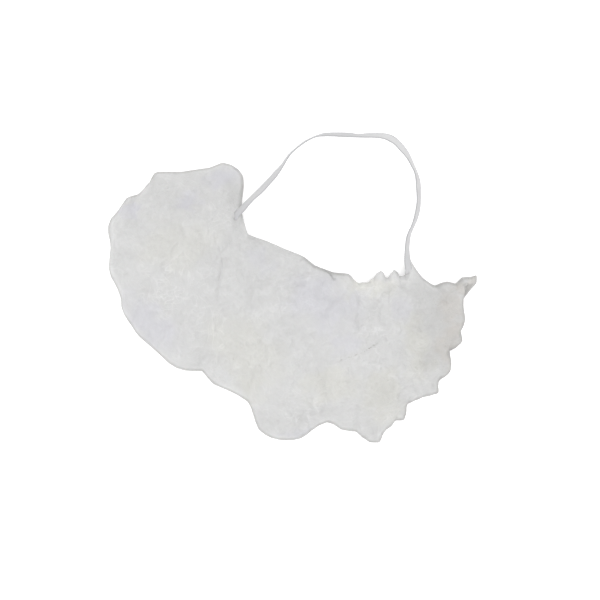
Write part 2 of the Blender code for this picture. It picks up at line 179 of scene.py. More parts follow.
CLOTH_LOWER = (
    (0, -119.5, 49.5), (1, -119.4, 44.3), (2, -118.2, 39.2), (3, -117.9, 34.0),
    (4, -118.3, 29.7), (5, -118.8, 25.4), (6, -118.9, 21.1), (6.7, -117.8, 16.6),
    (7.3, -115.5, 12.6), (8, -113.4, 8.5), (9, -111.4, 2.9), (10, -110.9, -3.2),
    (10.6, -109.3, -7.6), (11.2, -106.9, -11.6), (11.8, -104.2, -15.4), (12.4, -101.8, -19.3),
    (13, -98.8, -22.8), (14.3, -92.4, -28.2), (15.7, -86.2, -33.8), (17, -80.0, -39.6),
    (18, -75.1, -42.5), (19, -69.5, -44.1), (20, -63.8, -44.3), (21, -58.6, -44.5),
    (22, -55.0, -48.9), (23, -51.0, -53.1), (24, -43.2, -56.3), (25, -35.7, -60.0),
    (26, -28.9, -64.6), (26.5, -26.7, -68.7), (27, -25.3, -73.1), (27.5, -24.0, -77.5),
    (28, -21.9, -82.3), (28.8, -18.0, -85.6), (29.5, -13.8, -87.8), (30.2, -9.0, -89.0),
    (31, -4.2, -89.4), (31.5, 0.5, -89.2), (32, 5.0, -88.3), (32.5, 8.9, -86.1),
    (33, 12.5, -83.1), (33.5, 17.2, -79.8), (34, 22.4, -77.8), (35, 27.2, -79.3),
    (36, 31.4, -82.3), (37, 36.4, -83.5), (38, 41.4, -84.3), (39, 45.3, -87.8),
    (40, 50.1, -90.9), (41, 56.3, -91.0), (42, 58.4, -86.3), (43, 60.9, -82.6),
    (43.5, 64.1, -80.0), (44.2, 66.9, -76.7), (46, 72.6, -76.2), (47, 73.9, -70.5),
    (47.6, 74.2, -66.3), (48, 76.5, -65.0), (48.5, 80.3, -63.2), (49, 84.8, -61.5),
    (49.5, 89.6, -60.4), (50, 94.9, -58.9), (51, 94.9, -53.8), (51.5, 95.2, -51.4),
    (52, 96.6, -49.8), (53, 99.4, -47.9), (54, 102.4, -44.9), (54.7, 103.0, -40.3),
    (55.3, 102.3, -36.0), (56, 100.4, -32.4), (57, 106.0, -29.4), (58, 110.2, -25.6),
    (59, 109.8, -22.5), (60, 108.8, -19.5), (61, 110.8, -15.7), (62, 112.0, -11.4),
    (63, 110.8, -6.0), (64, 110.2, -0.8), (64.5, 110.6, 1.6), (65, 112.1, 4.0), (66, 115.6, 8.4),
    (67, 119.5, 12.7), (68, 119.6, 17.8),
)

Crown = namedtuple("Crown", "station height")

CROWN = [Crown(*row) for row in (
    (0, 16.0),
    (8, 23.0),
    (15, 26.0),
    (22, 24.0),
    (30, 27.0),
    (38, 25.0),
    (46, 24.0),
    (54, 19.0),
    (60, 13.0),
    (68, 7.0),
)]

Mouth = namedtuple("Mouth", "station lift front back")

MOUTH = [Mouth(*row) for row in (
    (17, 0.0, 0.0, 0.0),
    (20, 13.0, 0.0, 1.0),
    (24, 21.0, 0.0, 2.0),
    (29, 26.0, 1.0, 1.0),
    (31, 28.0, 2.8, 0.0),
    (36, 28.0, 2.8, 0.0),
    (38, 26.0, 0.0, 1.0),
    (46, 20.0, 0.0, 2.0),
    (50, 15.0, 0.0, 1.5),
    (54, 0.0, 0.0, 0.0),
)]

Dent = namedtuple("Dent", "x0 y0 x1 y1 width depth")

DENTS = [Dent(*row) for row in (
    (-38, 66, -52, 80, 7, 3.5),
    (-46, 26, -43, -6, 6, 3.5),
    (-84, 62, -70, 40, 9, 2.5),
    (-92, 10, -70, -12, 9, 2.5),
    (-4, 18, 24, 2, 6, 3.0),
    (26, -37, 56, -24, 7, 3.5),
    (-20, -20, 8, -34, 9, 2.5),
    (10, -58, 12, -78, 6, 2.5),
    (42, 8, 44, -16, 5, 2.5),
    (60, 12, 58, -10, 5, 2.5),
    (82, -36, 89, -56, 6, 2.5),
    (84, 4, 80, -18, 6, 2.5),
    (-66, 8, -30, 22, 9, -2.5),
    (-12, -48, 34, -56, 10, -2.5),
    (62, -30, 72, -50, 8, -2.0),
)]

# The strap: its middle line, how wide it looks from above (it rolls), how far
# it is held up, and how bright it is, from 0 to 1: painted light and shade, lighter where the band
# turns towards the light, darker where it turns away.
Band = namedtuple("Band", "x y wide lift tone")

BAND = [Band(*row) for row in (
    (-37.2, 53.7, 4.4, 5.0, 0.1),
    (-35.4, 55.8, 4.6, 5.0, 0.1),
    (-31.8, 60.0, 4.6, 4.9, 0.3),
    (-28.2, 64.2, 4.4, 4.4, 0.5),
    (-25.0, 67.6, 4.3, 3.4, 0.7),
    (-21.7, 70.8, 4.6, 1.9, 0.5),
    (-18.7, 74.1, 4.6, 1.0, 0.5),
    (-15.8, 77.5, 4.4, 0.5, 0.4),
    (-12.8, 80.9, 4.4, 0.2, 0.4),
    (-10.2, 84.5, 4.2, 0.0, 0.4),
    (-7.5, 88.1, 3.3, 0.0, 0.4),
    (-5.1, 91.9, 2.6, 0.0, 0.4),
    (-2.6, 95.6, 2.3, 0.0, 0.3),
    (0.6, 98.9, 2.0, 0.0, 0.3),
    (4.1, 101.8, 2.0, 0.0, 0.3),
    (7.6, 104.5, 2.2, 0.0, 0.3),
    (11.7, 106.7, 1.9, 0.0, 0.2),
    (15.8, 108.4, 2.2, 0.0, 0.1),
    (20.3, 109.3, 3.2, 0.0, 0.1),
    (24.8, 109.5, 3.6, 0.0, 0.2),
    (33.8, 109.3, 4.0, 0.0, 0.2),
    (38.3, 109.1, 3.9, 0.0, 0.2),
    (42.8, 108.6, 3.4, 0.0, 0.3),
    (47.3, 108.8, 3.9, 0.0, 0.6),
    (51.8, 108.9, 4.1, 0.0, 0.8),
    (56.2, 108.8, 4.4, 0.0, 0.9),
    (60.7, 108.2, 4.8, 0.0, 1.0),
    (64.9, 106.6, 5.0, 0.0, 1.0),
    (68.4, 103.8, 4.8, 0.0, 1.0),
    (71.4, 100.5, 4.9, 0.0, 1.0),
    (74.2, 96.9, 4.5, 0.0, 1.0),
    (76.5, 93.1, 3.8, 0.0, 0.9),
    (78.4, 89.1, 3.4, 0.0, 0.8),
    (80.3, 85.0, 3.1, 0.0, 0.6),
    (81.5, 80.7, 3.8, 0.0, 0.6),
    (82.0, 76.2, 4.2, 0.0, 0.8),
    (82.2, 71.8, 3.9, 0.0, 0.5),
    (82.3, 67.3, 3.7, 0.0, 0.5),
    (82.0, 62.8, 3.9, 0.0, 0.5),
    (81.2, 58.5, 3.9, 0.0, 0.5),
    (80.0, 54.1, 3.5, 0.0, 0.5),
    (78.4, 49.9, 3.1, 0.0, 0.5),
    (76.5, 45.9, 3.2, 0.3, 0.5),
    (75.1, 41.6, 3.8, 1.0, 0.5),
    (74.4, 37.1, 3.9, 2.0, 0.5),
    (74.1, 32.6, 4.2, 3.4, 0.4),
    (74.0, 27.5, 4.7, 4.6, 0.3),
    (74.4, 23.0, 4.9, 4.7, 0.3),
    (75.2, 18.8, 4.9, 4.7, 0.4),
)]


def hermite(knots, values, at):
    """Smooth curve through `values` at `knots`, read at the numbers `at`."""
    knots = np.asarray(knots, float)
    values = np.asarray(values, float)
    at = np.asarray(at, float)
    slope = np.empty_like(values)
    slope[1:-1] = (values[2:] - values[:-2]) / (knots[2:] - knots[:-2])[:, None]
    slope[0] = (values[1] - values[0]) / (knots[1] - knots[0])
    slope[-1] = (values[-1] - values[-2]) / (knots[-1] - knots[-2])
    cell = np.clip(np.searchsorted(knots, at, side="right") - 1, 0, len(knots) - 2)
    span = (knots[cell + 1] - knots[cell])[:, None]
    t = ((at - knots[cell]) / span[:, 0])[:, None]
    return ((2 * t**3 - 3 * t**2 + 1) * values[cell]
            + (t**3 - 2 * t**2 + t) * span * slope[cell]
            + (-2 * t**3 + 3 * t**2) * values[cell + 1]
            + (t**3 - t**2) * span * slope[cell + 1])


def edge_points(edge, stations):
    return hermite([e.station for e in edge], [(e.x, e.y) for e in edge], stations)


def smoothstep(t):
    t = np.clip(t, 0.0, 1.0)
    return t * t * (3.0 - 2.0 * t)


def mouth_open(stations):
    left = smoothstep((stations - MOUTH[0].station) / MOUTH_CORNER)
    right = smoothstep((MOUTH[-1].station - stations) / MOUTH_CORNER)
    return np.minimum(left, right)


def mouth_column(name, stations):
    return np.interp(stations, [m.station for m in MOUTH], [getattr(m, name) for m in MOUTH])


def rim_turn(stations):
    return np.radians(mouth_column("lift", stations))


def section_ends(stations):
    upper = edge_points(UPPER_EDGE, stations)
    lower = edge_points(LOWER_EDGE, stations)
    return upper, lower, np.linalg.norm(lower - upper, axis=1)


def cloth_edge(rows, calm_from):
    """An edge of the cloth at FINE stations, and the calm line that it weaves
    about: the notches and peaks move the cloth sideways near the edge, and
    raise no ridges behind it."""
    rows = np.array(rows, float)
    smooth = hermite(rows[:, 0], rows[:, 1:], FINE)
    straight = np.stack([np.interp(FINE, rows[:, 0], rows[:, c]) for c in (1, 2)], axis=-1)
    line = smooth + CRISP * (straight - smooth)
    reach = int(round(3 * CALM / (FINE[1] - FINE[0])))
    weights = np.exp(-0.5 * (3.0 * np.arange(-reach, reach + 1) / reach) ** 2)
    padded = np.pad(line, ((reach, reach), (0, 0)), mode="reflect", reflect_type="odd")
    calm = np.stack([np.convolve(padded[:, c], weights / weights.sum(), "valid")
                     for c in (0, 1)], axis=-1)
    share = smoothstep((FINE - calm_from) / 4.0) * smoothstep((STATIONS - 1.0 - FINE) / 4.0)
    return line, line + share[:, None] * (calm - line)


def at_fine(values, stations):
    return np.stack([np.interp(stations, FINE, values[:, c]) for c in (0, 1)], axis=-1)


def cloth_ends(stations):
    """The sections' ends on the calm lines, and their length."""
    upper, lower = at_fine(UPPER_CALM, stations), at_fine(LOWER_CALM, stations)
    return upper, lower, np.linalg.norm(lower - upper, axis=1)


def edge_moves(stations):
    """How far the edges themselves lie from the calm lines."""
    return (at_fine(UPPER_LINE - UPPER_CALM, stations),
            at_fine(LOWER_LINE - LOWER_CALM, stations))


FINE = np.linspace(0.0, STATIONS, 1361)
CALM = 1.6               # how far the calm lines smooth, in stations
CRISP = 0.7              # corners: 0 rounded, 1 sharp
UPPER_LINE, UPPER_CALM = cloth_edge(CLOTH_UPPER, 34.0)
LOWER_LINE, LOWER_CALM = cloth_edge(CLOTH_LOWER, 19.0)


def crown_height(stations):
    upper, lower, _ = section_ends(stations)
    middle = (upper + lower) / 2
    height = hermite([c.station for c in CROWN], [(c.height,) for c in CROWN], stations)[:, 0]
    for row in (LOWER_EDGE[0], LOWER_EDGE[-1]):
        away = np.linalg.norm(middle - np.array((row.x, row.y)), axis=1)
        t = np.clip(away / END_ROUND, 0.0, 1.0)
        height = height * np.sqrt(1.0 - (1.0 - t) ** 2)
    return height


def fold_share(stations, across):
    share = np.zeros(np.broadcast(stations, across).shape)
    for edge, run in ((UPPER_EDGE, across), (LOWER_EDGE, 1.0 - across)):
        for row in edge:
            if row.fold:
                beside = np.exp(-((stations - row.station) / 1.1) ** 2)
                share = share + row.fold * beside * (1.0 - smoothstep(run / row.reach))
    return share


def dent_depth(x, y):
    depth = np.zeros_like(x)
    for d in DENTS:
        run = np.array((d.x1 - d.x0, d.y1 - d.y0), float)
        t = np.clip(((x - d.x0) * run[0] + (y - d.y0) * run[1]) / run.dot(run), 0.0, 1.0)
        off = np.hypot(x - d.x0 - t * run[0], y - d.y0 - t * run[1])
        depth = depth + d.depth * np.exp(-(off / d.width) ** 2)
    return depth


def front_panel(stations, turns, cloth=False):
    """Outer face of the front panel, at turns from 0 (upper edge) to pi: the
    model's, or the one that the cloth is laid on.  The cloth keeps less of
    the broad folds and dents, since finer creases take their place."""
    if cloth:
        upper, lower, length = cloth_ends(stations)
        recess = np.zeros_like(length)
        folds = (FOLDS - 0.20 * smoothstep((stations - 40.0) / 6.0))[:, None]
        dents = DENTS_KEPT
    else:
        upper, lower, length = section_ends(stations)
        recess, folds, dents = mouth_column("front", stations), 1.0, 1.0
    start = (recess / np.maximum(length, 1.0))[:, None]
    lost = (1.0 - np.cos(rim_turn(stations)[:, None])) / 2.0
    across = start + (1.0 - start) * ((1.0 - np.cos(turns)) / 2.0 - lost) / (1.0 - lost)
    x = upper[:, :1] + (lower - upper)[:, :1] * across
    y = upper[:, 1:] + (lower - upper)[:, 1:] * across
    rise = np.sin(turns).clip(0.0) ** CROWN_FULLNESS
    crown = crown_height(stations)[:, None] * (1.0 - folds * fold_share(stations[:, None], across))
    inner = smoothstep(crown * rise / 12.0)
    z = EDGE_HEIGHT + crown * rise - dents * dent_depth(x, y) * inner
    return np.stack((x, y, z), axis=-1)


def behind_front(station, turn, inset):
    step = 0.02
    s = np.array((station, station + step, station))
    t = np.array(((turn,), (turn,), (turn + step,)))
    here, along, over = front_panel(s, t)[:, 0]
    normal = np.cross(along - here, over - here)
    normal = normal / np.linalg.norm(normal)
    if normal[2] < 0:
        normal = -normal
    return here - normal * inset


def elastic_halves():
    """The thread's stations, its axis under the front rim, and over the back."""
    stations = np.arange(MOUTH[0].station + 4.0, MOUTH[-1].station - 3.5, 1.0)
    upper, lower, length = section_ends(stations)
    front = []
    for s, rim, span in zip(stations, rim_turn(stations), length):
        turn = math.acos(math.cos(rim) - 2 * ELASTIC_FROM_RIM / span)
        front.append(behind_front(s, turn, ELASTIC_INSET))
    heights = np.array([p[2] for p in front])
    beside = np.pad(heights, 2, mode="edge")
    for k, p in enumerate(front):
        p[2] = beside[k:k + 5].min()
    inward = (lower - upper) / length[:, None]
    inset = mouth_column("back", stations)[:, None] + ELASTIC_FROM_RIM
    back = np.column_stack((upper + inward * inset, np.full(len(stations), ELASTIC_HEIGHT)))
    return stations, np.array(front), back


def summed(steps):
    """Running total of the lengths of some steps, from 0."""
    return np.concatenate(((0.0,), np.cumsum(np.linalg.norm(steps, axis=1))))


def band_route():
    """Points along the strap, its run, its roll and its tone."""
    rows = np.array(BAND, float)
    chord = summed(np.diff(rows[:, :2], axis=0))
    fine = hermite(chord, rows, np.linspace(0.0, chord[-1], 1500))
    turns = np.radians(np.linspace(80.0, 10.0, 71))
    wide = BAND_WIDTH * np.cos(turns) + STRAP_THICKNESS * np.sin(turns)
    roll = np.interp(fine[:, 2], wide, turns)
    half = (BAND_WIDTH * np.sin(roll) + STRAP_THICKNESS * np.cos(roll)) / 2
    z = half + STRAP_CLEARANCE + np.maximum(fine[:, 3], 0.0)
    path = np.column_stack((fine[:, :2], z))
    run = summed(np.diff(path, axis=0))
    at = np.linspace(0.0, run[-1], int(run[-1] / 0.7) + 1)
    columns = (*path.T, roll, fine[:, 4])
    x, y, z, roll, tone = (np.interp(at, run, c) for c in columns)
    return np.column_stack((x, y, z)), at, roll, tone


# --------------------------------------------------------------- node helpers
def new_material(name):
    material = bpy.data.materials.new(name)
    material.use_nodes = True
    tree = material.node_tree
    return material, tree, tree.nodes["Principled BSDF"]


def node(tree, kind, **values):
    made = tree.nodes.new(kind)
    for key, value in values.items():
        if key in made.inputs:
            made.inputs[key].default_value = value
        else:
            setattr(made, key, value)
    return made


def link(tree, a, b):
    tree.links.new(a, b)


# ------------------------------------------------------------------ the strap
def over_cloth(path, at):
    """Lifts the strap's two ends onto the cloth, with a ramp up to each; the
    last few mm sink into it, where they are joined."""
    plan, heights = front[..., :2].reshape(-1, 2), front[..., 2].ravel()
    needed = np.zeros(len(path))
    for k, p in enumerate(path):
        if min(at[k], at[-1] - at[k]) < 14.0:
            near = lengths(plan, p[:2]) < (1.6 if at[k] < 14.0 else 1.2)
            if near.any():
                needed[k] = heights[near].max() + CLOTH / 2 + STRAP_THICKNESS / 2 + 0.1
    ramp = (needed - BAND_RAMP * np.abs(at[:, None] - at)).max(axis=1)
    path[:, 2] = np.maximum(path[:, 2], ramp)
    path[:, 2] -= STRAP_SINK * (1.0 - smoothstep(np.minimum(at, at[-1] - at) / 4.5))


def build_strap():
    """A flat woven band: ribbed rings that roll along the route."""
    path, at, turn, tone = band_route()
    count = len(at) - 1
    over_cloth(path, at)
    for _ in range(4):                              # round the polyline's corners
        path[1:-1] = (path[:-2] + 2 * path[1:-1] + path[2:]) / 4
    heading = np.gradient(path, axis=0)
    heading /= np.linalg.norm(heading, axis=1)[:, None]

    half, thick, ribs = BAND_WIDTH / 2, STRAP_THICKNESS / 2 * 0.9, 5
    across = np.linspace(-1.0, 1.0, 15)
    profile = []
    for side in (1, -1):
        for u in across[:: -side][(1 if side < 0 else 0):(None if side > 0 else -1)]:
            edge = math.sqrt(max(0.0, 1.0 - abs(u) ** 6))
            ridge = 0.10 * math.cos(u * ribs * math.pi)
            profile.append((u * half, side * thick * max(edge * (0.88 + ridge), 0.10)))
    profile = np.array(profile)
    rng = np.random.default_rng(11)
    knots = np.arange(0.0, at[-1] + 6.0, 5.0)
    wobble = np.interp(at, knots, rng.normal(0, 1, len(knots)))
    # how much of the edges' painted shade is kept; it fades out towards both ends
    edge_shade_share = 0.4 + 0.6 * smoothstep(np.minimum(at, at[-1] - at) / 3.5)
    verts, uvs = [], []
    girth = np.concatenate(((0.0,), np.cumsum(np.linalg.norm(np.diff(profile, axis=0), axis=1))))
    for k, (p, ahead, angle) in enumerate(zip(path, heading, turn)):
        side = np.cross(ahead, (0.0, 0.0, 1.0))
        side /= np.linalg.norm(side)
        lift = np.cross(side, ahead)
        wide = side * math.cos(angle) + lift * math.sin(angle)
        flat = lift * math.cos(angle) - side * math.sin(angle)
        grow = 1.0 + 0.02 * wobble[k]
        for (u, v), g in zip(profile, girth):
            verts.append((p + wide * u * grow + flat * v) * MM)
            uvs.append((g, at[k], tone[k], abs(u) / half * edge_shade_share[k]))
    n = len(profile)
    faces = []
    for k in range(count):
        for j in range(n):
            a, b = k * n + j, k * n + (j + 1) % n
            faces.append((a, b, b + n, a + n))
    faces.append(tuple(range(n - 1, -1, -1)))
    faces.append(tuple(count * n + j for j in range(n)))
    mesh = bpy.data.meshes.new("strap")
    mesh.from_pydata([tuple(v) for v in verts], [], faces)
    bm = bmesh.new()
    bm.from_mesh(mesh)
    bmesh.ops.recalc_face_normals(bm, faces=bm.faces)
    layer = bm.loops.layers.uv.new("Cloth")
    shades = bm.loops.layers.uv.new("Shades")
    for face in bm.faces:
        wraps = {l.vert.index % n for l in face.loops} == {0, n - 1}
        for loop in face.loops:
            g, a, bright, outer = uvs[loop.vert.index]
            if wraps and loop.vert.index % n == 0:
                g = girth[-1] + np.linalg.norm(profile[0] - profile[-1])
            loop[layer].uv = (g * MM, a * MM)
            loop[shades].uv = (bright, outer)
    bm.to_mesh(mesh)
    bm.free()
    mesh.shade_smooth()
    strap = bpy.data.objects.new("strap", mesh)
    bpy.context.scene.collection.objects.link(strap)
    return strap, path


def strap_material():
    material, tree, shader = new_material("strap_finish")
    shader.inputs["Roughness"].default_value = 0.62
    shader.inputs["Sheen Weight"].default_value = 0.25
    shader.inputs["Sheen Roughness"].default_value = 0.5
    uv = node(tree, "ShaderNodeUVMap", uv_map="Cloth")
    # lengthwise yarns, crossed by the fine picks of the braid
    ribs = node(tree, "ShaderNodeTexWave", wave_type="BANDS", bands_direction="X",
                Scale=900.0, Distortion=0.6)
    ribs.inputs["Detail"].default_value = 2.0
    picks = node(tree, "ShaderNodeTexWave", wave_type="BANDS", bands_direction="Y",
                 Scale=520.0, Distortion=1.2)
    picks.inputs["Detail"].default_value = 2.0
    link(tree, uv.outputs["UV"], ribs.inputs["Vector"])
    link(tree, uv.outputs["UV"], picks.inputs["Vector"])
    both = node(tree, "ShaderNodeMath", operation="MULTIPLY")
    link(tree, ribs.outputs["Fac"], both.inputs[0])
    link(tree, picks.outputs["Fac"], both.inputs[1])
    shades = node(tree, "ShaderNodeSeparateXYZ")
    link(tree, node(tree, "ShaderNodeUVMap", uv_map="Shades").outputs["UV"], shades.inputs[0])
    # painted light and shade along the band: lighter where it turns towards the light, darker
    # where it turns away
    tint = node(tree, "ShaderNodeMix", data_type="RGBA")
    tint.inputs[6].default_value = (0.475, 0.475, 0.487, 1.0)
    tint.inputs[7].default_value = (0.575, 0.575, 0.580, 1.0)
    link(tree, shades.outputs[0], tint.inputs[0])
    shade = node(tree, "ShaderNodeMix", data_type="RGBA", blend_type="MULTIPLY")
    shade.inputs[0].default_value = 0.10
    link(tree, tint.outputs[2], shade.inputs[6])
    link(tree, both.outputs[0], shade.inputs[7])
    # the edges are painted darker: painted shade where the band rolls over at its sides
    edge_shade = node(tree, "ShaderNodeMapRange", interpolation_type="SMOOTHSTEP")
    link(tree, shades.outputs[1], edge_shade.inputs["Value"])
    edge_shade.inputs["From Min"].default_value = 0.62
    edge_shade.inputs["From Max"].default_value = 0.90
    edges = node(tree, "ShaderNodeMix", data_type="RGBA")
    link(tree, edge_shade.outputs["Result"], edges.inputs[0])
    link(tree, shade.outputs[2], edges.inputs[6])
    edges.inputs[7].default_value = (0.36, 0.36, 0.37, 1.0)
    link(tree, edges.outputs[2], shader.inputs["Base Color"])
    bump = node(tree, "ShaderNodeBump", Strength=0.35, Distance=0.00012)
    link(tree, both.outputs[0], bump.inputs["Height"])
    link(tree, bump.outputs["Normal"], shader.inputs["Normal"])
    return material


# ------------------------------------------------------------------ the pouch
COLUMNS = 350            # along the pouch
FRONT_ROWS = 104         # across the front panel, from the mouth to the lower edge
EDGE_ROWS = 5            # round each folded edge, down to the table
BACK_ROWS = 14           # across the back panel between its edges
HEM_ROWS = 7             # round the hem's tunnel
END = 0.22               # the first column's station; the last is as far from the tip
CLOTH = 0.28             # cloth thickness
REST_Z = 0.20            # middle of the cloth over the table where it lies flat
HEM_WIDTH = 8.6
FOLDS = 0.42             # how much of the model's broad folds the cloth keeps
DENTS_KEPT = 0.30        # and of its dents
# How far the back rim stands back from the front rim: stations, mm.
BACK_INSET = ((17, 20, 24, 30, 36, 42, 50, 54), (0.0, 1.5, 2.4, 1.6, 1.6, 2.4, 1.6, 0.0))
EDGE_PLAY = 10.0         # how far in the edges' notches and peaks are felt
COLLAR_Z = 10.0          # height of the collar over the strap
CREASE_BULGE = 0.16      # a point this far above its neighbours is a full ridge
BACK_CURL = 2.8          # how far the back rim curls up towards the front rim
MOUTH_DENSITY = 1.45     # columns lie closer along the mouth

# Crumples, each a web of flat facets: facet size and height in mm, how much
# longer the facets are one way, and which way.  The broad ones are there
# before the cloth is relaxed; the sharp ones are pressed into it afterwards.
Web = namedtuple("Web", "size high long turn")
BROAD = [Web(*row) for row in (
    (27.0, 1.9, 1.5, 35),
    (17.0, 1.3, 1.3, -25),
)]
SHARP = [Web(*row) for row in (
    (10.0, 1.05, 1.6, 20),
    (6.0, 0.65, 1.6, -50),
    (3.4, 0.40, 1.5, 75),
)]
# Gathers, the same along an edge: spacing along it, length of a fold across
# it, height, and how far in it fades.
Gather = namedtuple("Gather", "spacing long high reach")
RIM_GATHERS = [Gather(*row) for row in (
    (9.0, 34.0, 0.65, 26.0),
    (4.8, 16.0, 0.42, 12.0),
)]
RIM_CRIMPS = Gather(2.6, 7.0, 0.26, 5.0)
BACK_GATHERS = Gather(5.0, 14.0, 1.0, 10.0)
LOW_GATHERS = [Gather(*row) for row in (
    (12.0, 40.0, 1.50, 30.0),
    (6.5, 20.0, 0.70, 14.0),
)]

# Sharp creases that the photo shows: from, to, half-width either side, height.
Crease = namedtuple("Crease", "x0 y0 x1 y1 wide high")
SHOWN = [Crease(*row) for row in (
    (-3.5, 12.0, 10.0, 15.0, 2.4, 1.1),
    (10.0, 15.0, 24.5, 6.0, 2.4, 1.2),
    (-3.0, 4.0, 22.0, 14.0, 2.2, 0.7),
    (-44.0, 26.0, -46.5, -6.0, 2.6, -0.9),
    (-66.0, 62.0, -38.0, 68.0, 3.0, -0.6),
    (-38.0, 58.0, -62.0, 30.0, 2.6, 0.6),
    (-37.0, 55.0, -74.0, 48.0, 2.6, 0.6),
    (8.0, -62.0, 12.5, -80.0, 2.4, 1.0),
    (13.0, -60.0, 19.0, -76.0, 2.4, 0.9),
    (83.0, -36.0, 90.0, -56.0, 3.4, -0.5),
    (76.0, -44.0, 84.0, -62.0, 2.8, 0.5),
    (17.5, 23.6, 23.8, 19.0, 1.3, -1.5),
    (23.2, 19.6, 27.2, 13.6, 1.5, -1.4),
    (-3.6, 12.2, 12.0, 5.0, 1.8, 0.8),
    (54.0, -4.0, 57.0, -16.0, 2.2, -0.6),
    (27.0, -37.5, 55.0, -25.0, 2.2, -0.5),
    (112.4, 12.0, 111.4, 2.0, 1.5, -1.8),
)]


def column_stations():
    """Stations of the columns: even along the form, closer at the mouth."""
    fine = np.linspace(END, STATIONS - END, 4001)
    upper, lower = at_fine(UPPER_LINE, fine), at_fine(LOWER_LINE, fine)
    middle = (upper + lower) / 2
    step = sum(w * np.linalg.norm(np.diff(e, axis=0), axis=1)
               for e, w in ((upper, 0.25), (lower, 0.25), (middle, 0.5)))
    s = (fine[1:] + fine[:-1]) / 2
    inside = smoothstep((s - 16.0) / 3.0) * smoothstep((55.0 - s) / 3.0)
    step = step * (1.0 + (MOUTH_DENSITY - 1.0) * inside)
    total = np.concatenate(((0.0,), np.cumsum(step)))
    return np.interp(np.linspace(0.0, total[-1], COLUMNS), total, fine)


def unit(v):
    return v / np.maximum(np.linalg.norm(v, axis=-1, keepdims=True), 1e-12)


def grid_normals(grid):
    return unit(np.cross(np.gradient(grid, axis=1), np.gradient(grid, axis=0)))


def tents(x, y, rows):
    """Sum of straight folds with flat sides: each row is a centre, a
    direction, a half-length, the widths of its two sides and a height."""
    height = np.zeros_like(x)
    for cx, cy, angle, half, w0, w1, high in rows:
        c, s = math.cos(angle), math.sin(angle)
        near = np.abs((x - cx) * c + (y - cy) * s) < half
        if not near.any():
            continue
        u = ((x[near] - cx) * c + (y[near] - cy) * s) / half
        v = (y[near] - cy) * c - (x[near] - cx) * s
        side = np.where(v > 0, v / w0, -v / w1)
        height[near] += high * np.clip(1.0 - side, 0.0, 1.0) * (1.0 - u * u)
    return height


def shards(p, q, seed):
    """Flat triangular facets with random corners, about 1 wide, -1 to 1 high."""
    corner = np.random.default_rng(seed).uniform(-1.0, 1.0, (97, 89))
    skew = (p + q) * 0.366
    i, j = np.floor(p + skew).astype(int), np.floor(q + skew).astype(int)
    u, v = p + skew - i, q + skew - j
    first = u > v
    at = lambda a, b: corner[a % 97, b % 89]
    side = at(i + first, j + ~first)
    return (at(i, j) * (1.0 - np.maximum(u, v)) + side * np.abs(u - v)
            + at(i + 1, j + 1) * np.minimum(u, v))


def wavy(x, y, seed, wave, count=14):
    """A smooth random field of about unit size, with waves `wave` mm long."""
    rng = np.random.default_rng(seed)
    total = np.zeros(np.broadcast(x, y).shape)
    for _ in range(count):
        angle, phase = rng.uniform(0, 2 * math.pi, 2)
        k = 2 * math.pi / (wave * rng.uniform(0.5, 1.6))
        total += np.sin(k * (x * math.cos(angle) + y * math.sin(angle)) + phase)
    return total / math.sqrt(count / 2)


def crumple(x, y, table, seed):
    total = np.zeros_like(x)
    for k, web in enumerate(table):
        wave = 3.0 * web.size
        px = x + 0.20 * web.size * wavy(x, y, seed + 10 * k, wave)
        py = y + 0.20 * web.size * wavy(x, y, seed + 10 * k + 1, wave)
        c, s = math.cos(math.radians(web.turn)), math.sin(math.radians(web.turn))
        web_height = shards((px * c + py * s) / (web.size * web.long),
                            (py * c - px * s) / web.size, seed + 10 * k + 2)
        local = 1.0 + 0.35 * wavy(x, y, seed + 10 * k + 3, 60.0)
        total += web.high * np.clip(local, 0.35, 1.7) * web_height
    return total


def gather(run, away, g, seed):
    """Folds across an edge: `run` mm along it, `away` mm in from it."""
    bent = run[:, None] + 0.25 * g.spacing * wavy(run[:, None], away, seed, 4.0 * g.spacing)
    folds = shards(bent / g.spacing + 0.37 * away / g.long, away / g.long, seed + 1)
    return g.high * folds * np.exp(-(away / g.reach) ** 2)


def shown_creases(x, y):
    rows = []
    for c in SHOWN:
        run = (c.x1 - c.x0, c.y1 - c.y0)
        rows.append(((c.x0 + c.x1) / 2, (c.y0 + c.y1) / 2, math.atan2(run[1], run[0]),
                     math.hypot(*run) / 2 * 1.15, c.wide, c.wide, c.high))
    return tents(x, y, rows)


def quad_normals(grid):
    return unit(np.cross(grid[:-1, 1:] - grid[1:, :-1], grid[1:, 1:] - grid[:-1, :-1]))


def facet(grid, passes, sharp, updates):
    """The grid with its soft swells turned into flat facets between sharp
    creases: face normals are averaged with their like neighbours only, and
    the points then follow the faces."""
    faces = quad_normals(grid)
    n, m = faces.shape[:2]
    reach = [(i, j) for i in range(-2, 3) for j in range(-2, 3)]
    for _ in range(passes):
        padded = np.pad(faces, ((2, 2), (2, 2), (0, 0)), mode="edge")
        total = np.zeros_like(faces)
        for i, j in reach:
            beside = padded[2 + i:2 + i + n, 2 + j:2 + j + m]
            apart = ((faces - beside) ** 2).sum(axis=-1)
            near = math.exp(-(i * i + j * j) / 5.0)
            total += (near * np.exp(-apart / (2 * sharp * sharp)))[..., None] * beside
        faces = unit(total)
    x = grid.copy()
    for _ in range(updates):
        centre = (x[:-1, :-1] + x[1:, :-1] + x[:-1, 1:] + x[1:, 1:]) / 4
        move = np.zeros_like(x)
        count = np.zeros(x.shape[:2])
        for i in (0, 1):
            for j in (0, 1):
                here = (slice(i, n + i), slice(j, m + j))
                away = np.einsum("...k,...k->...", centre - x[here], faces)
                move[here] += away[..., None] * faces
                count[here] += 1
        x += move / count[..., None]
    return x


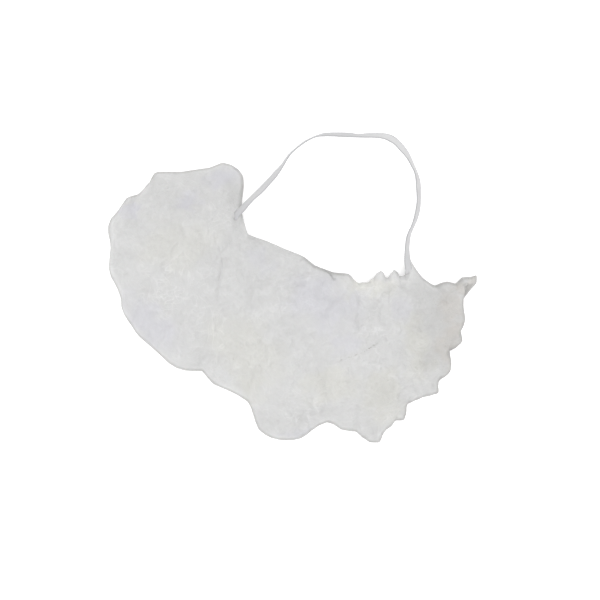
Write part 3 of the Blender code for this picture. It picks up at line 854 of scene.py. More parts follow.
def pull(a, b, wa, wb, rest, stiffness, only_short=False):
    """Moves two grids of points so that each pair nears its rest length."""
    d = b - a
    length = np.sqrt(np.einsum("...k,...k->...", d, d)) + 1e-9
    share = stiffness * (length - rest) / (length * (wa + wb + 1e-9))
    if only_short:
        share = np.minimum(share, 0.0)
    d *= share[..., None]
    a += d * wa[..., None]
    b -= d * wb[..., None]


def lengths(a, b):
    return np.linalg.norm(b - a, axis=-1)


def relax(grid, base, normal, free, rest, gap, hold, passes, bend):
    """Cloth `grid` relaxed to its rest lengths, kept within `gap` of the
    form `base` and drawn back over it by `hold`."""
    along, over, cross, back = rest
    x = grid.copy()
    old = x.copy()
    w = free
    i_slices = [slice(0, None, 2), slice(1, None, 2)]
    bend_i = lengths(base[:-2], base[2:]) * 0.965
    bend_j = lengths(base[:, :-2], base[:, 2:]) * 0.965
    for step in range(passes):
        drift = 0.90 if step < passes * 0.7 else 0.5
        move = (x - old) * drift
        old = x.copy()
        x += move * (w > 0)[..., None]
        for s in i_slices:
            a, b = x[:-1][s], x[1:][s]
            pull(a, b, w[:-1][s], w[1:][s], along[s], 0.9)
        for s in i_slices:
            a, b = x[:, :-1][:, s], x[:, 1:][:, s]
            pull(a, b, w[:, :-1][:, s], w[:, 1:][:, s], over[:, s], 0.9)
        for s in i_slices:
            pull(x[:-1, :-1][s], x[1:, 1:][s], w[:-1, :-1][s], w[1:, 1:][s], cross[s], 0.35)
            pull(x[1:, :-1][s], x[:-1, 1:][s], w[1:, :-1][s], w[:-1, 1:][s], back[s], 0.35)
        if bend:
            for k in range(4):
                s = slice(k, None, 4)
                pull(x[:-2][s], x[2:][s], w[:-2][s], w[2:][s], bend_i[s], bend, True)
                pull(x[:, :-2][:, s], x[:, 2:][:, s], w[:, :-2][:, s], w[:, 2:][:, s],
                     bend_j[:, s], bend, True)
        off = x - base
        high = np.einsum("...k,...k->...", off, normal)
        flat = off - high[..., None] * normal
        over_gap = high - np.clip(high, -gap, gap)
        x -= (0.6 * over_gap)[..., None] * normal * (w > 0)[..., None]
        x -= flat * hold[..., None]
    return x


def rest_lengths(grid, along_more, over_more):
    """Rest lengths of the grid's own edges and diagonals, with the extra
    cloth that `along_more` and `over_more` give (shares, at the points)."""
    def mid(a, b):
        return (a + b) / 2
    e_u, e_v = along_more, over_more
    along = lengths(grid[:-1], grid[1:]) * (1 + mid(e_u[:-1], e_u[1:]))
    over = lengths(grid[:, :-1], grid[:, 1:]) * (1 + mid(e_v[:, :-1], e_v[:, 1:]))
    both = 1 + (e_u + e_v) / 2
    cross = lengths(grid[:-1, :-1], grid[1:, 1:]) * mid(both[:-1, :-1], both[1:, 1:])
    back = lengths(grid[1:, :-1], grid[:-1, 1:]) * mid(both[1:, :-1], both[:-1, 1:])
    return along, over, cross, back


def from_line(points, line):
    """Distance in plan from each point to a line's nearest point."""
    near = np.full(points.shape[:-1], np.inf)
    for x, y in line[::3]:
        near = np.minimum(near, np.hypot(points[..., 0] - x, points[..., 1] - y))
    return near


def collar_share(stations):
    return smoothstep((stations - 48.4) / 1.6) * smoothstep((53.0 - stations) / 2.0)


def build_front(stations):
    start = rim_turn(stations)
    # rows evenly spaced along the arc of each section
    fine = np.linspace(0.0, 1.0, 400)
    turns = start[:, None] + (math.pi - start[:, None]) * fine
    arcs = front_panel(stations, turns, cloth=True)
    run = np.concatenate((np.zeros((len(stations), 1)),
                          np.cumsum(lengths(arcs[:, :-1], arcs[:, 1:]), axis=1)), axis=1)
    share = np.linspace(0.0, 1.0, FRONT_ROWS)
    at = np.stack([np.interp(share * r[-1], r, fine) for r in run])
    turns = start[:, None] + (math.pi - start[:, None]) * at
    base = front_panel(stations, turns, cloth=True)
    # move the edges out to their own lines
    upper, lower, _ = cloth_ends(stations)
    upper_move, lower_move = edge_moves(stations)
    from_upper = lengths(base[..., :2], upper[:, None])
    from_lower = lengths(base[..., :2], lower[:, None])
    base[..., :2] += upper_move[:, None] * (1.0 - smoothstep(from_upper / EDGE_PLAY))[..., None]
    base[..., :2] += lower_move[:, None] * (1.0 - smoothstep(from_lower / EDGE_PLAY))[..., None]
    collar = collar_share(stations)[:, None] * (1.0 - smoothstep(from_upper / 7.0))
    base[..., 2] += np.minimum(COLLAR_Z - base[..., 2], 0.0) * collar
    arc = run[:, -1]
    from_rim = share[None, :] * arc[:, None]        # mm from the upper edge or rim
    from_low = (1.0 - share)[None, :] * arc[:, None]
    normal = grid_normals(base)
    normal *= np.sign(normal[:, FRONT_ROWS // 2:FRONT_ROWS // 2 + 1, 2:])
    return base, normal, from_rim, from_low, arc


stations = column_stations()
base, normal, from_rim, from_low, arc = build_front(stations)
upper, lower, length = cloth_ends(stations)
opened = mouth_open(stations)

middle = base[:, FRONT_ROWS // 2]
along_mm = np.concatenate(((0.0,), np.cumsum(lengths(middle[:-1], middle[1:]))))
rim_mm = np.concatenate(((0.0,), np.cumsum(lengths(base[:-1, 0], base[1:, 0]))))
low_mm = np.concatenate(((0.0,), np.cumsum(lengths(base[:-1, -1], base[1:, -1]))))

from_end = np.minimum(along_mm, along_mm[-1] - along_mm)[:, None]
from_outline = np.minimum(from_line(base, UPPER_LINE), from_line(base, LOWER_LINE))
from_edge = np.minimum(np.minimum(from_rim, from_low), from_end)
from_edge = np.minimum(from_edge, 1.35 * from_outline)
in_mouth = smoothstep((stations - 17.0) / 2.5) * smoothstep((54.0 - stations) / 2.5)
# the rim lies calm along the mouth's left part, and so do both corners
rim_play = (0.05 + 0.20 * smoothstep((stations - 36.0) / 2.0)) * in_mouth
end_calm = 0.30 + 0.70 * smoothstep((from_end - 3.0) / 16.0)
# so does the cloth below the strap's right end
calm = smoothstep((stations - 47.8) / 1.2) * smoothstep((53.4 - stations) / 1.2)
calm = calm[:, None] * (1.0 - smoothstep((from_rim - 9.0) / 8.0))
over_hem = in_mouth[:, None] * np.exp(-((from_rim - 5.0) / 5.0) ** 2)


def edge_gathers():
    """Folds that run in from the mouth and from the lower edge, stronger at
    the right; the outline itself stays almost still."""
    right = (smoothstep((stations - 34.0) / 4.0) * 0.70 + 0.30)[:, None]
    rim = sum(gather(rim_mm, from_rim, g, 60 + 5 * k) for k, g in enumerate(RIM_GATHERS))
    calm_rim = np.maximum(smoothstep((stations - 35.5) / 2.0)[:, None],
                          0.25 + 0.75 * smoothstep(from_rim / 5.0))
    total = rim * right * calm_rim * in_mouth[:, None]
    crimped = in_mouth * (0.2 + 0.8 * smoothstep((stations - 35.5) / 2.0))
    total += gather(rim_mm, from_rim, RIM_CRIMPS, 75) * crimped[:, None]
    total += 0.5 * rim * (1.0 - in_mouth)[:, None] * smoothstep(from_rim / 6.0)
    low_right = (smoothstep((stations - 30.0) / 8.0) * 0.55 + 0.45)[:, None]
    low = sum(gather(low_mm, from_low, g, 80 + 5 * k) for k, g in enumerate(LOW_GATHERS))
    total += low * low_right * (0.12 + 0.88 * smoothstep(from_low / 6.0))
    total *= 1.0 - 0.8 * calm
    return total * smoothstep(from_end / 10.0)


def off_thread(height):
    """Less of the dips that would press on the thread in the hem."""
    return height * np.where(height < 0.0, 1.0 - 0.75 * over_hem, 1.0)


def make_front():
    inner = smoothstep((from_edge - 0.5) / 7.0)
    rim_in = np.maximum(inner, rim_play[:, None])
    x, y = base[..., 0], base[..., 1]
    height = off_thread(crumple(x, y, BROAD, 400) * rim_in * end_calm + edge_gathers())
    start = base + height[..., None] * normal

    free = np.ones(base.shape[:2])
    free[:, -1] = 0.0
    free[:, 0] = np.where(in_mouth > 0.5, 0.35, 0.0)
    free[:2] = 0.0
    free[-2:] = 0.0

    rng = np.random.default_rng(8)
    spots = rng.uniform((-120, -90), (120, 90), (60, 2))
    more = np.zeros_like(from_rim)
    for cx, cy in spots:
        more += rng.uniform(-1, 1) * np.exp(-((x - cx) ** 2 + (y - cy) ** 2) / (2 * 15.0 ** 2))
    more = np.clip(more, -1, 1)
    rim_more = 0.05 + 0.06 * smoothstep((stations - 34.0) / 4.0)
    along_more = 0.032 + 0.015 * more + (rim_more * in_mouth)[:, None] * np.exp(-from_rim / 10.0)
    over_more = 0.028 + 0.015 * more
    gap = 2.4 * smoothstep(from_edge / 16.0) + 0.8
    gap = gap + np.abs(height) * 0.25
    hold = 0.02 + 0.25 * np.exp(-(from_edge / 3.0) ** 2)

    grid = start
    for step, passes in ((4, 260), (2, 200), (1, 140)):
        cols = np.unique(np.r_[np.arange(0, COLUMNS, step), COLUMNS - 1])
        rows = np.unique(np.r_[np.arange(0, FRONT_ROWS, step), FRONT_ROWS - 1])
        pick = np.ix_(cols, rows)
        # the crease pattern this coarse, then the finer part put back on
        coarse = relax(grid[pick], base[pick], normal[pick], free[pick],
                       rest_lengths(start[pick], along_more[pick], over_more[pick]),
                       gap[pick], hold[pick], passes, 0.10)
        if step == 1:
            grid = coarse
        else:
            grid = grid + spread_out(coarse - grid[pick], cols, rows)

    kept = np.maximum(smoothstep(from_edge / 9.0), 2.0 * rim_play[:, None]) * (1.0 - calm)
    grid = base + (grid - base) * kept[..., None]
    flat = smoothstep((from_edge - 1.0) / 8.0) * 0.85 * (1.0 - calm)
    grid = grid + flat[..., None] * (facet(grid, 8, 0.30, 14) - grid)
    pressed = crumple(x, y, SHARP, 500) * end_calm * np.maximum(
        smoothstep((from_edge - 0.8) / 6.0), rim_play[:, None])
    pressed = off_thread(pressed) + shown_creases(x, y) * smoothstep(from_edge / 2.5)
    pressed *= 1.0 - 0.8 * calm
    outward = grid_normals(grid)
    outward *= np.sign(outward[:, FRONT_ROWS // 2:FRONT_ROWS // 2 + 1, 2:])
    return grid + pressed[..., None] * outward


def spread_out(values, cols, rows):
    """Values on some columns and rows, filled in to the whole grid."""
    all_cols, all_rows = np.arange(COLUMNS), np.arange(FRONT_ROWS)
    by_row = np.empty((len(cols), FRONT_ROWS, 3))
    for c in range(3):
        for i in range(len(cols)):
            by_row[i, :, c] = np.interp(all_rows, rows, values[i, :, c])
    out = np.empty((COLUMNS, FRONT_ROWS, 3))
    for c in range(3):
        for j in range(FRONT_ROWS):
            out[:, j, c] = np.interp(all_cols, cols, by_row[:, j, c])
    return out


front = make_front()


def back_grid():
    """The back panel: round the lower edge, along the table, and round the
    upper edge, or flat to its rim where the mouth is open."""
    radius = np.minimum(EDGE_RADIUS, 0.42 * length)
    inset = np.interp(stations, *BACK_INSET)
    upper_move, lower_move = edge_moves(stations)
    low_move = front[:, -1] - base[:, -1]
    high_move = (front[:, 0] - base[:, 0]) * (1.0 - opened)[:, None]
    rows, floor_share = [], []
    for k in range(EDGE_ROWS + 1):
        turn = math.pi / 2 * k / EDGE_ROWS
        away = radius * (1 - math.cos(turn))
        z = EDGE_HEIGHT * (1 - math.sin(turn)) * np.ones_like(length)
        rows.append((away, z, (1 - k / EDGE_ROWS) ** 1.5, 0.0))
    for k in range(1, BACK_ROWS):
        t = k / BACK_ROWS
        rows.append((radius + (length - 2 * radius - inset) * t, np.zeros_like(length), 0.0, 0.0))
    for k in range(EDGE_ROWS, -1, -1):
        turn = math.pi / 2 * k / EDGE_ROWS
        shut = length - inset - radius * (1 - math.cos(turn))
        wide = length - inset - radius * k / EDGE_ROWS
        away = shut * (1 - opened) + wide * opened
        z = EDGE_HEIGHT * (1 - math.sin(turn)) * (1 - opened)
        rows.append((away, z, 0.0, (1 - k / EDGE_ROWS) ** 1.5))
    out = []
    for away, z, low_share, high_share in rows:
        s = (away / np.maximum(length, 1e-9))[:, None]
        plan = lower + (upper - lower) * s
        p = np.column_stack((plan, z + REST_Z * (1.0 - z / EDGE_HEIGHT)))
        p = p + low_move * low_share + high_move * high_share
        near_low = 1.0 - smoothstep(away / EDGE_PLAY)
        near_high = 1.0 - smoothstep((length - inset - away) / EDGE_PLAY)
        p[:, :2] += lower_move * near_low[:, None] + upper_move * near_high[:, None]
        p[:, 2] += (COLLAR_Z - 5.0) * collar_share(stations) * near_high
        out.append(p)
    grid = np.stack(out, axis=1)
    # shallow creases, upwards only, since it lies on the table
    away = np.stack([r[0] for r in rows], axis=1)
    inside = smoothstep((np.minimum(away, length[:, None] - away) - 3.0) / 14.0)
    lift = np.maximum(crumple(grid[..., 0], grid[..., 1], BROAD[1:] + SHARP[:2], 600), 0.0) * 0.8
    grid[..., 2] += lift * inside * smoothstep(from_end / 20.0)
    # gathers at the back rim
    off_rim = (length - inset)[:, None] - away
    folds = gather(rim_mm, np.maximum(off_rim, 0.0), BACK_GATHERS, 90)
    grid[..., 2] += np.maximum(folds, 0.0) * in_mouth[:, None]
    curl = smoothstep((stations - 28.0) / 3.0) * smoothstep((39.0 - stations) / 3.0)
    near_rim = smoothstep(1.0 - (length[:, None] - inset[:, None] - away) / 3.6)
    grid[..., 2] += BACK_CURL * curl[:, None] * near_rim
    return grid, inset


back, back_inset = back_grid()


def interpolate_rows(grid, run, at):
    """Points of each column of `grid` at `at` mm along it."""
    out = np.empty((len(grid), 3))
    for i in range(len(grid)):
        for c in range(3):
            out[i, c] = np.interp(at[i], run[i], grid[i, :, c])
    return out


def smooth_along(values, passes):
    for _ in range(passes):
        values = values.copy()
        values[1:-1] = (values[:-2] + 2 * values[1:-1] + values[2:]) / 4
    return values


# Hem rows: how far in from the rim, as a share of the hem's width, and how
# deep behind the cloth, as a share of the depth that clears the thread.
Hem = namedtuple("Hem", "away deep")
HEM = [Hem(*row) for row in (
    (-0.045, 0.20), (0.00, 0.52), (0.18, 0.84), (0.42, 1.00),
    (0.66, 0.96), (0.86, 0.62), (1.00, 0.22),
)]


def hem_columns():
    """The columns that have a hem, and how full it is in each."""
    full = smoothstep((stations - 19.6) / 2.6) * smoothstep((49.2 - stations) / 2.2)
    cols = np.nonzero(full > 0.02)[0]
    return cols, np.maximum(full, 0.05)


def hem_grids():
    thread_stations, thread_front, thread_back = elastic_halves()
    cols, full = hem_columns()
    # front hem: behind the front panel, round the thread
    run = np.concatenate((np.zeros((COLUMNS, 1)),
                          np.cumsum(lengths(front[:, :-1], front[:, 1:]), axis=1)), axis=1)
    smooth_front = front.copy()
    for c in range(3):
        smooth_front[..., c] = smooth_along(front[..., c], 6)
    outward = grid_normals(smooth_front)
    outward *= np.sign(outward[:, FRONT_ROWS // 2:FRONT_ROWS // 2 + 1, 2:])
    flaps = []
    thread = np.column_stack([np.interp(stations, thread_stations, thread_front[:, c])
                              for c in range(3)])
    at5 = interpolate_rows(front, run, np.full(COLUMNS, 5.0))
    n5 = unit(interpolate_rows(outward, run, np.full(COLUMNS, 5.0)))
    depth = np.einsum("ik,ik->i", at5 - thread, n5) + ELASTIC_DIAMETER / 2 + 0.35
    depth = smooth_along(np.maximum(depth, 3.9), 4)
    rows = []
    for h in HEM:
        a = HEM_WIDTH * h.away * full
        p = interpolate_rows(front, run, np.maximum(a, 0.0))
        n = unit(interpolate_rows(outward, run, np.maximum(a, 0.0)))
        inward = unit(front[:, 2] - front[:, 0])
        p = p + inward * np.minimum(a, 0.0)[:, None]
        rows.append(p - n * (depth * h.deep * full + 0.30)[:, None])
    flaps.append(np.stack(rows, axis=1)[cols])
    # back hem: over the back panel, round the thread
    inward = unit(np.column_stack((lower - upper, np.zeros(COLUMNS))))
    high = ELASTIC_HEIGHT - REST_Z + ELASTIC_DIAMETER / 2 + 0.35
    rows = []
    brun = np.concatenate((np.zeros((COLUMNS, 1)),
                           np.cumsum(lengths(back[:, :0:-1], back[:, -2::-1]), axis=1)), axis=1)
    flipped = back[:, ::-1]
    for h in HEM:
        a = HEM_WIDTH * h.away * full
        p = interpolate_rows(flipped, brun, np.maximum(a, 0.0))
        p = p + inward * np.minimum(a, 0.0)[:, None]
        rows.append(p + np.array((0.0, 0.0, 1.0)) * (high * h.deep * full + 0.30)[:, None])
    flaps.append(np.stack(rows, axis=1)[cols])
    return cols, flaps


hem_cols, (front_hem, back_hem) = hem_grids()


# Where the cloth looks a little cooler or creamier: centre, radii in mm,
# turn in degrees, and how much.  It is smoother in the cool places.
Spot = namedtuple("Spot", "x y rx ry turn share")
COOL_SPOTS = [Spot(*row) for row in (
    (-65.0, 66.0, 9.0, 8.0, 20, 1.0),
    (-102.0, 61.5, 9.0, 6.0, 30, 1.0),
    (-44.0, 80.5, 16.0, 8.0, 10, 0.9),
    (-91.0, -14.0, 29.0, 13.0, -44, 0.75),
    (20.0, 0.0, 30.0, 21.0, -20, 0.75),
    (34.0, -26.0, 12.0, 9.0, 0, 0.6),
    (2.0, -84.0, 17.0, 5.0, 0, 0.6),
    (-22.0, 26.0, 12.0, 8.0, -30, 0.5),
    (70.0, -4.0, 9.0, 8.0, 0, 0.5),
)]
CREAM_SPOTS = [Spot(*row) for row in (
    (-72.0, 36.0, 30.0, 20.0, 10, 0.7),
    (50.0, 11.0, 22.0, 7.0, 4, 1.0),
    (-30.0, -30.0, 34.0, 22.0, -35, 0.8),
    (-26.0, -52.0, 14.0, 12.0, 0, 1.0),
    (24.0, -52.0, 24.0, 14.0, 0, 0.9),
    (58.0, -60.0, 16.0, 22.0, 0, 1.0),
    (80.0, -30.0, 12.0, 24.0, 10, 1.0),
    (114.5, 13.0, 6.0, 5.0, 0, 1.0),
)]
# The right end is painted warmer and a little darker: warm painted shade.
END_SPOTS = [Spot(*row) for row in (
    (101.0, -4.0, 10.0, 14.0, 0, 0.75),
    (101.5, -27.0, 11.0, 18.0, 12, 1.0),
    (113.5, 6.0, 5.0, 9.0, -15, 0.9),
)]


# Painted shade: broad darker patches, and the deep painted shadow under the tip's fold.
LIVELY_SPOTS = [Spot(*row) for row in (      # many light streaks
    (-75.0, 9.0, 24.0, 24.0, 0, 1.0),
    (5.0, 6.0, 23.0, 18.0, 0, 1.0),
    (51.0, -20.0, 17.0, 20.0, 0, 1.0),
    (1.6, -66.0, 18.0, 18.0, 0, 0.9),
    (-41.0, -24.0, 27.0, 18.0, -30, 0.7),
    (-44.5, 57.0, 16.0, 14.0, 0, 0.8),
    (-79.0, 67.0, 20.0, 14.0, 0, 0.6),
    (42.6, 7.5, 20.0, 9.0, 0, 0.8),
    (50.0, -70.0, 15.0, 14.0, 0, 0.7),
    (80.0, -36.0, 9.0, 18.0, 0, 0.6),
)]
# broad painted shade: centre, radii in mm, turn in degrees, and how dark
SHADE_SPOTS = [Spot(*row) for row in (
    (60.0, -60.0, 30.0, 22.0, 10, 0.12),
    (98.0, -18.0, 30.0, 52.0, 8, 0.29),
    (-62.0, 72.0, 54.0, 30.0, 5, 0.10),
    (14.0, -82.0, 62.0, 22.0, 0, 0.06),
    (-38.5, 71.5, 10.0, 14.0, 0, 0.17),
    (86.0, -40.0, 6.0, 13.0, 8, 0.29),
    (-5.0, 36.0, 30.0, 9.0, -20, 0.04),
)]
TIP_SHADE = ((110.6, 11.9), (119.2, 12.4), (111.0, 1.6))     # a triangle, and
TIP_SHARE = 0.62                                             # how dark it is
LIVELY_ELSEWHERE = 0.42
# painted shade along the cloth's outline: how dark, and how wide in mm
OUTLINE_SHARE = 0.84     # the cloth is darker along its outline, in mm
OUTLINE_WIDE = 2.7


def spot_field(table, x, y, inner):
    """Soft ellipses with uneven rims, the strongest where they overlap."""
    x = x + 2.2 * wavy(x, y, 41, 22.0) + 0.8 * wavy(x, y, 42, 7.0)
    y = y + 2.2 * wavy(x, y, 43, 22.0) + 0.8 * wavy(x, y, 44, 7.0)
    total = np.zeros_like(x)
    for row in table:
        c, s = math.cos(math.radians(row.turn)), math.sin(math.radians(row.turn))
        u = ((x - row.x) * c + (y - row.y) * s) / row.rx
        v = ((y - row.y) * c - (x - row.x) * s) / row.ry
        total = np.maximum(total, row.share * smoothstep((1.15 - np.hypot(u, v)) / (1.15 - inner)))
    return total


def in_triangle(x, y, corners, soft):
    """1 inside the corners (given clockwise), falling to 0 over `soft` mm."""
    inside = np.full(x.shape, np.inf)
    for (ax, ay), (bx, by) in zip(corners, corners[1:] + corners[:1]):
        size = math.hypot(bx - ax, by - ay)
        inside = np.minimum(inside, ((x - ax) * (by - ay) - (y - ay) * (bx - ax)) / size)
    return smoothstep(inside / soft + 0.5)


def crease_light_and_shade():
    """How much each point of the front stands above (to 1) or below (to -1)
    its neighbours, for painted light on the ridges and painted shade in the hollows; the rim's
    right part gets painted light as if it were a ridge."""
    ridge = np.zeros(front.shape[:2])
    outward = grid_normals(front)
    outward *= np.sign(outward[:, FRONT_ROWS // 2:FRONT_ROWS // 2 + 1, 2:])
    around = (front[:-2, 1:-1] + front[2:, 1:-1] + front[1:-1, :-2] + front[1:-1, 2:]) / 4
    bulge = np.einsum("...k,...k->...", front[1:-1, 1:-1] - around, outward[1:-1, 1:-1])
    ridge[1:-1, 1:-1] = bulge
    light_rim = smoothstep((stations - 34.5) / 3.0) * smoothstep((53.0 - stations) / 3.0)
    rim_share = light_rim[:, None] * (1.0 - smoothstep((from_rim - 4.0) / 12.0))
    return np.clip(ridge / CREASE_BULGE, -1.0, 1.0) + 3.6 * rim_share


def build_pouch():
    verts, uvs, shade_and_marks, faces = [], [], [], []

    def add(points, uv, ridge_and_shade=None):
        """Each point's ridge, and its painted shade along the outline; points given none, on the
        back panel, the hems and the end caps' centres, get the full painted shade.
        """
        first = len(verts)
        verts.extend(points)
        uvs.extend(uv)
        shade_and_marks.extend([(0.0, 1.0)] * len(points) if ridge_and_shade is None else ridge_and_shade)
        return np.arange(first, first + len(points))

    front_ids = np.empty(front.shape[:2], int)
    front_run = np.concatenate((np.zeros((COLUMNS, 1)),
                                np.cumsum(lengths(front[:, :-1], front[:, 1:]), axis=1)), axis=1)
    ridge = crease_light_and_shade()
    plan = front[..., :2]
    inside = np.minimum(lengths(plan, plan[:, :1]), lengths(plan, plan[:, -1:]))
    inside = np.minimum(inside, from_outline)
    # the outline's painted shade is weaker along the rim's right and left parts, and a little
    # stronger along the fold at the mouth
    light_rim = smoothstep((stations - 35.0) / 3.0) * smoothstep((53.0 - stations) / 3.0)
    left_rim = smoothstep((stations - 19.0) / 3.0) * smoothstep((29.5 - stations) / 2.0)
    folded = smoothstep((stations - 28.0) / 1.5) * smoothstep((36.0 - stations) / 1.5)
    lighter = 0.75 * light_rim + 0.95 * left_rim - 0.2 * folded
    lighter = lighter[:, None] * (from_rim < from_low)
    outline = OUTLINE_SHARE * (1.0 - lighter) * (1.0 - smoothstep(inside / OUTLINE_WIDE))
    outline *= smoothstep((inside + 0.35) / 1.0)
    for i in range(COLUMNS):
        front_ids[i] = add(front[i], [(along_mm[i], v) for v in front_run[i]],
                           list(zip(ridge[i], outline[i])))
    joined = (stations <= MOUTH[0].station) | (stations >= MOUTH[-1].station)
    back_run = np.concatenate((np.zeros((COLUMNS, 1)),
                               np.cumsum(lengths(back[:, :-1], back[:, 1:]), axis=1)), axis=1)
    nb = back.shape[1]
    back_ids = np.empty((COLUMNS, nb), int)
    for i in range(COLUMNS):
        back_ids[i, 0] = front_ids[i, -1]
        base_v = front_run[i, -1]
        last = nb - 1 if joined[i] else nb
        back_ids[i, 1:last] = add(back[i, 1:last],
                                  [(along_mm[i], base_v + v) for v in back_run[i, 1:last]])
        if joined[i]:
            back_ids[i, -1] = front_ids[i, 0]
    hem_ids = []
    for grid, rim, start in ((front_hem, front_ids[:, 0], 0.0), (back_hem, back_ids[:, -1], None)):
        ids = np.empty((len(hem_cols), HEM_ROWS + 1), int)
        for k, i in enumerate(hem_cols):
            ids[k, 0] = rim[i]
            row_run = np.cumsum(lengths(np.vstack((verts[rim[i]], grid[k][:-1])), grid[k]))
            if start is None:
                v0 = front_run[i, -1] + back_run[i, -1]
                uv = [(along_mm[i], v0 + v) for v in row_run]
            else:
                uv = [(along_mm[i], -v) for v in row_run]
            ids[k, 1:] = add(grid[k], uv)
        hem_ids.append(ids)

    def skin(ids, flip):
        for i in range(len(ids) - 1):
            for j in range(ids.shape[1] - 1):
                ring = (ids[i, j], ids[i, j + 1], ids[i + 1, j + 1], ids[i + 1, j])
                ring = tuple(dict.fromkeys(int(r) for r in (ring[::-1] if flip else ring)))
                if len(ring) >= 3:
                    faces.append(ring)

    skin(front_ids, False)
    skin(back_ids, False)
    skin(hem_ids[0], True)
    skin(hem_ids[1], False)
    for i, tip in ((0, LOWER_EDGE[0]), (COLUMNS - 1, LOWER_EDGE[-1])):
        centre = add([np.array((tip.x, tip.y, EDGE_HEIGHT))],
                     [(along_mm[i] + (2.0 if i else -2.0), 0.0)])[0]
        loop = list(front_ids[i]) + list(back_ids[i, 1:-1])
        for a, b in zip(loop, loop[1:] + loop[:1]):
            faces.append((int(a), int(b), int(centre)) if i else (int(b), int(a), int(centre)))

    mesh = bpy.data.meshes.new("pouch_cloth")
    mesh.from_pydata([tuple(np.asarray(v) * MM) for v in verts], [], faces)
    layer = mesh.uv_layers.new(name="Cloth")
    loops = np.empty(len(mesh.loops), np.int32)
    mesh.loops.foreach_get("vertex_index", loops)
    layer.uv.foreach_set("vector", (np.asarray(uvs)[loops] * MM).astype(np.float32).ravel())
    points = np.asarray(verts)
    x, y = points[:, 0], points[:, 1]
    above = smoothstep((points[:, 2] - 1.0) / 2.0)
    tints = np.column_stack((spot_field(COOL_SPOTS, x, y, 0.35),
                             spot_field(CREAM_SPOTS, x, y, 0.35))) * above[:, None]
    shade_and_marks = np.asarray(shade_and_marks)
    # painted shade: the outline's, the shadow under the tip's fold, and broad patches
    tip = TIP_SHARE * in_triangle(x, y, TIP_SHADE, 1.4) * smoothstep(points[:, 2] - 1.0)
    shade = np.maximum(shade_and_marks[:, 1], tip)
    shade = np.clip(shade + spot_field(SHADE_SPOTS, x, y, 0.2) * above, 0.0, 1.0)
    ends = np.column_stack((spot_field(END_SPOTS, x, y, 0.5) * above, shade))
    lively = LIVELY_ELSEWHERE + (1.0 - LIVELY_ELSEWHERE) * spot_field(LIVELY_SPOTS, x, y, 0.3)
    creases = np.column_stack((shade_and_marks[:, 0], lively))
    for name, values in (("Creases", creases), ("Tints", tints), ("End", ends)):
        layer = mesh.uv_layers.new(name=name)
        layer.uv.foreach_set("vector", values[loops].astype(np.float32).ravel())
    mesh.shade_smooth()
    mesh.validate()
    pouch = bpy.data.objects.new("pouch_cloth", mesh)
    bpy.context.scene.collection.objects.link(pouch)
    wall = pouch.modifiers.new("cloth", "SOLIDIFY")
    wall.thickness = CLOTH * MM
    wall.offset = 0.0
    wall.use_even_offset = False
    wall.material_offset = 1          # the inner side
    return pouch


# Thin dark marks: painted shade along the fold at the mouth, a dotted darker
# line under the middle, the painted shadow line under the tip's fold, and two specks.
FOLD_SHADE_AND_SPECKS = [Spot(*row) for row in (
    (20.8, 21.2, 4.3, 0.50, -36, 0.7),
    (25.4, 16.7, 3.6, 0.50, -56, 0.7),
    (35.5, -34.8, 9.5, 0.45, 18, 0.6),
    (49.0, -28.8, 7.0, 0.50, 32, 1.0),
    (111.5, 7.2, 4.6, 0.55, 88, 0.8),
    (-90.7, 16.5, 1.1, 0.7, 10, 0.8),
    (15.3, -52.3, 0.8, 0.6, 0, 0.5),
)]


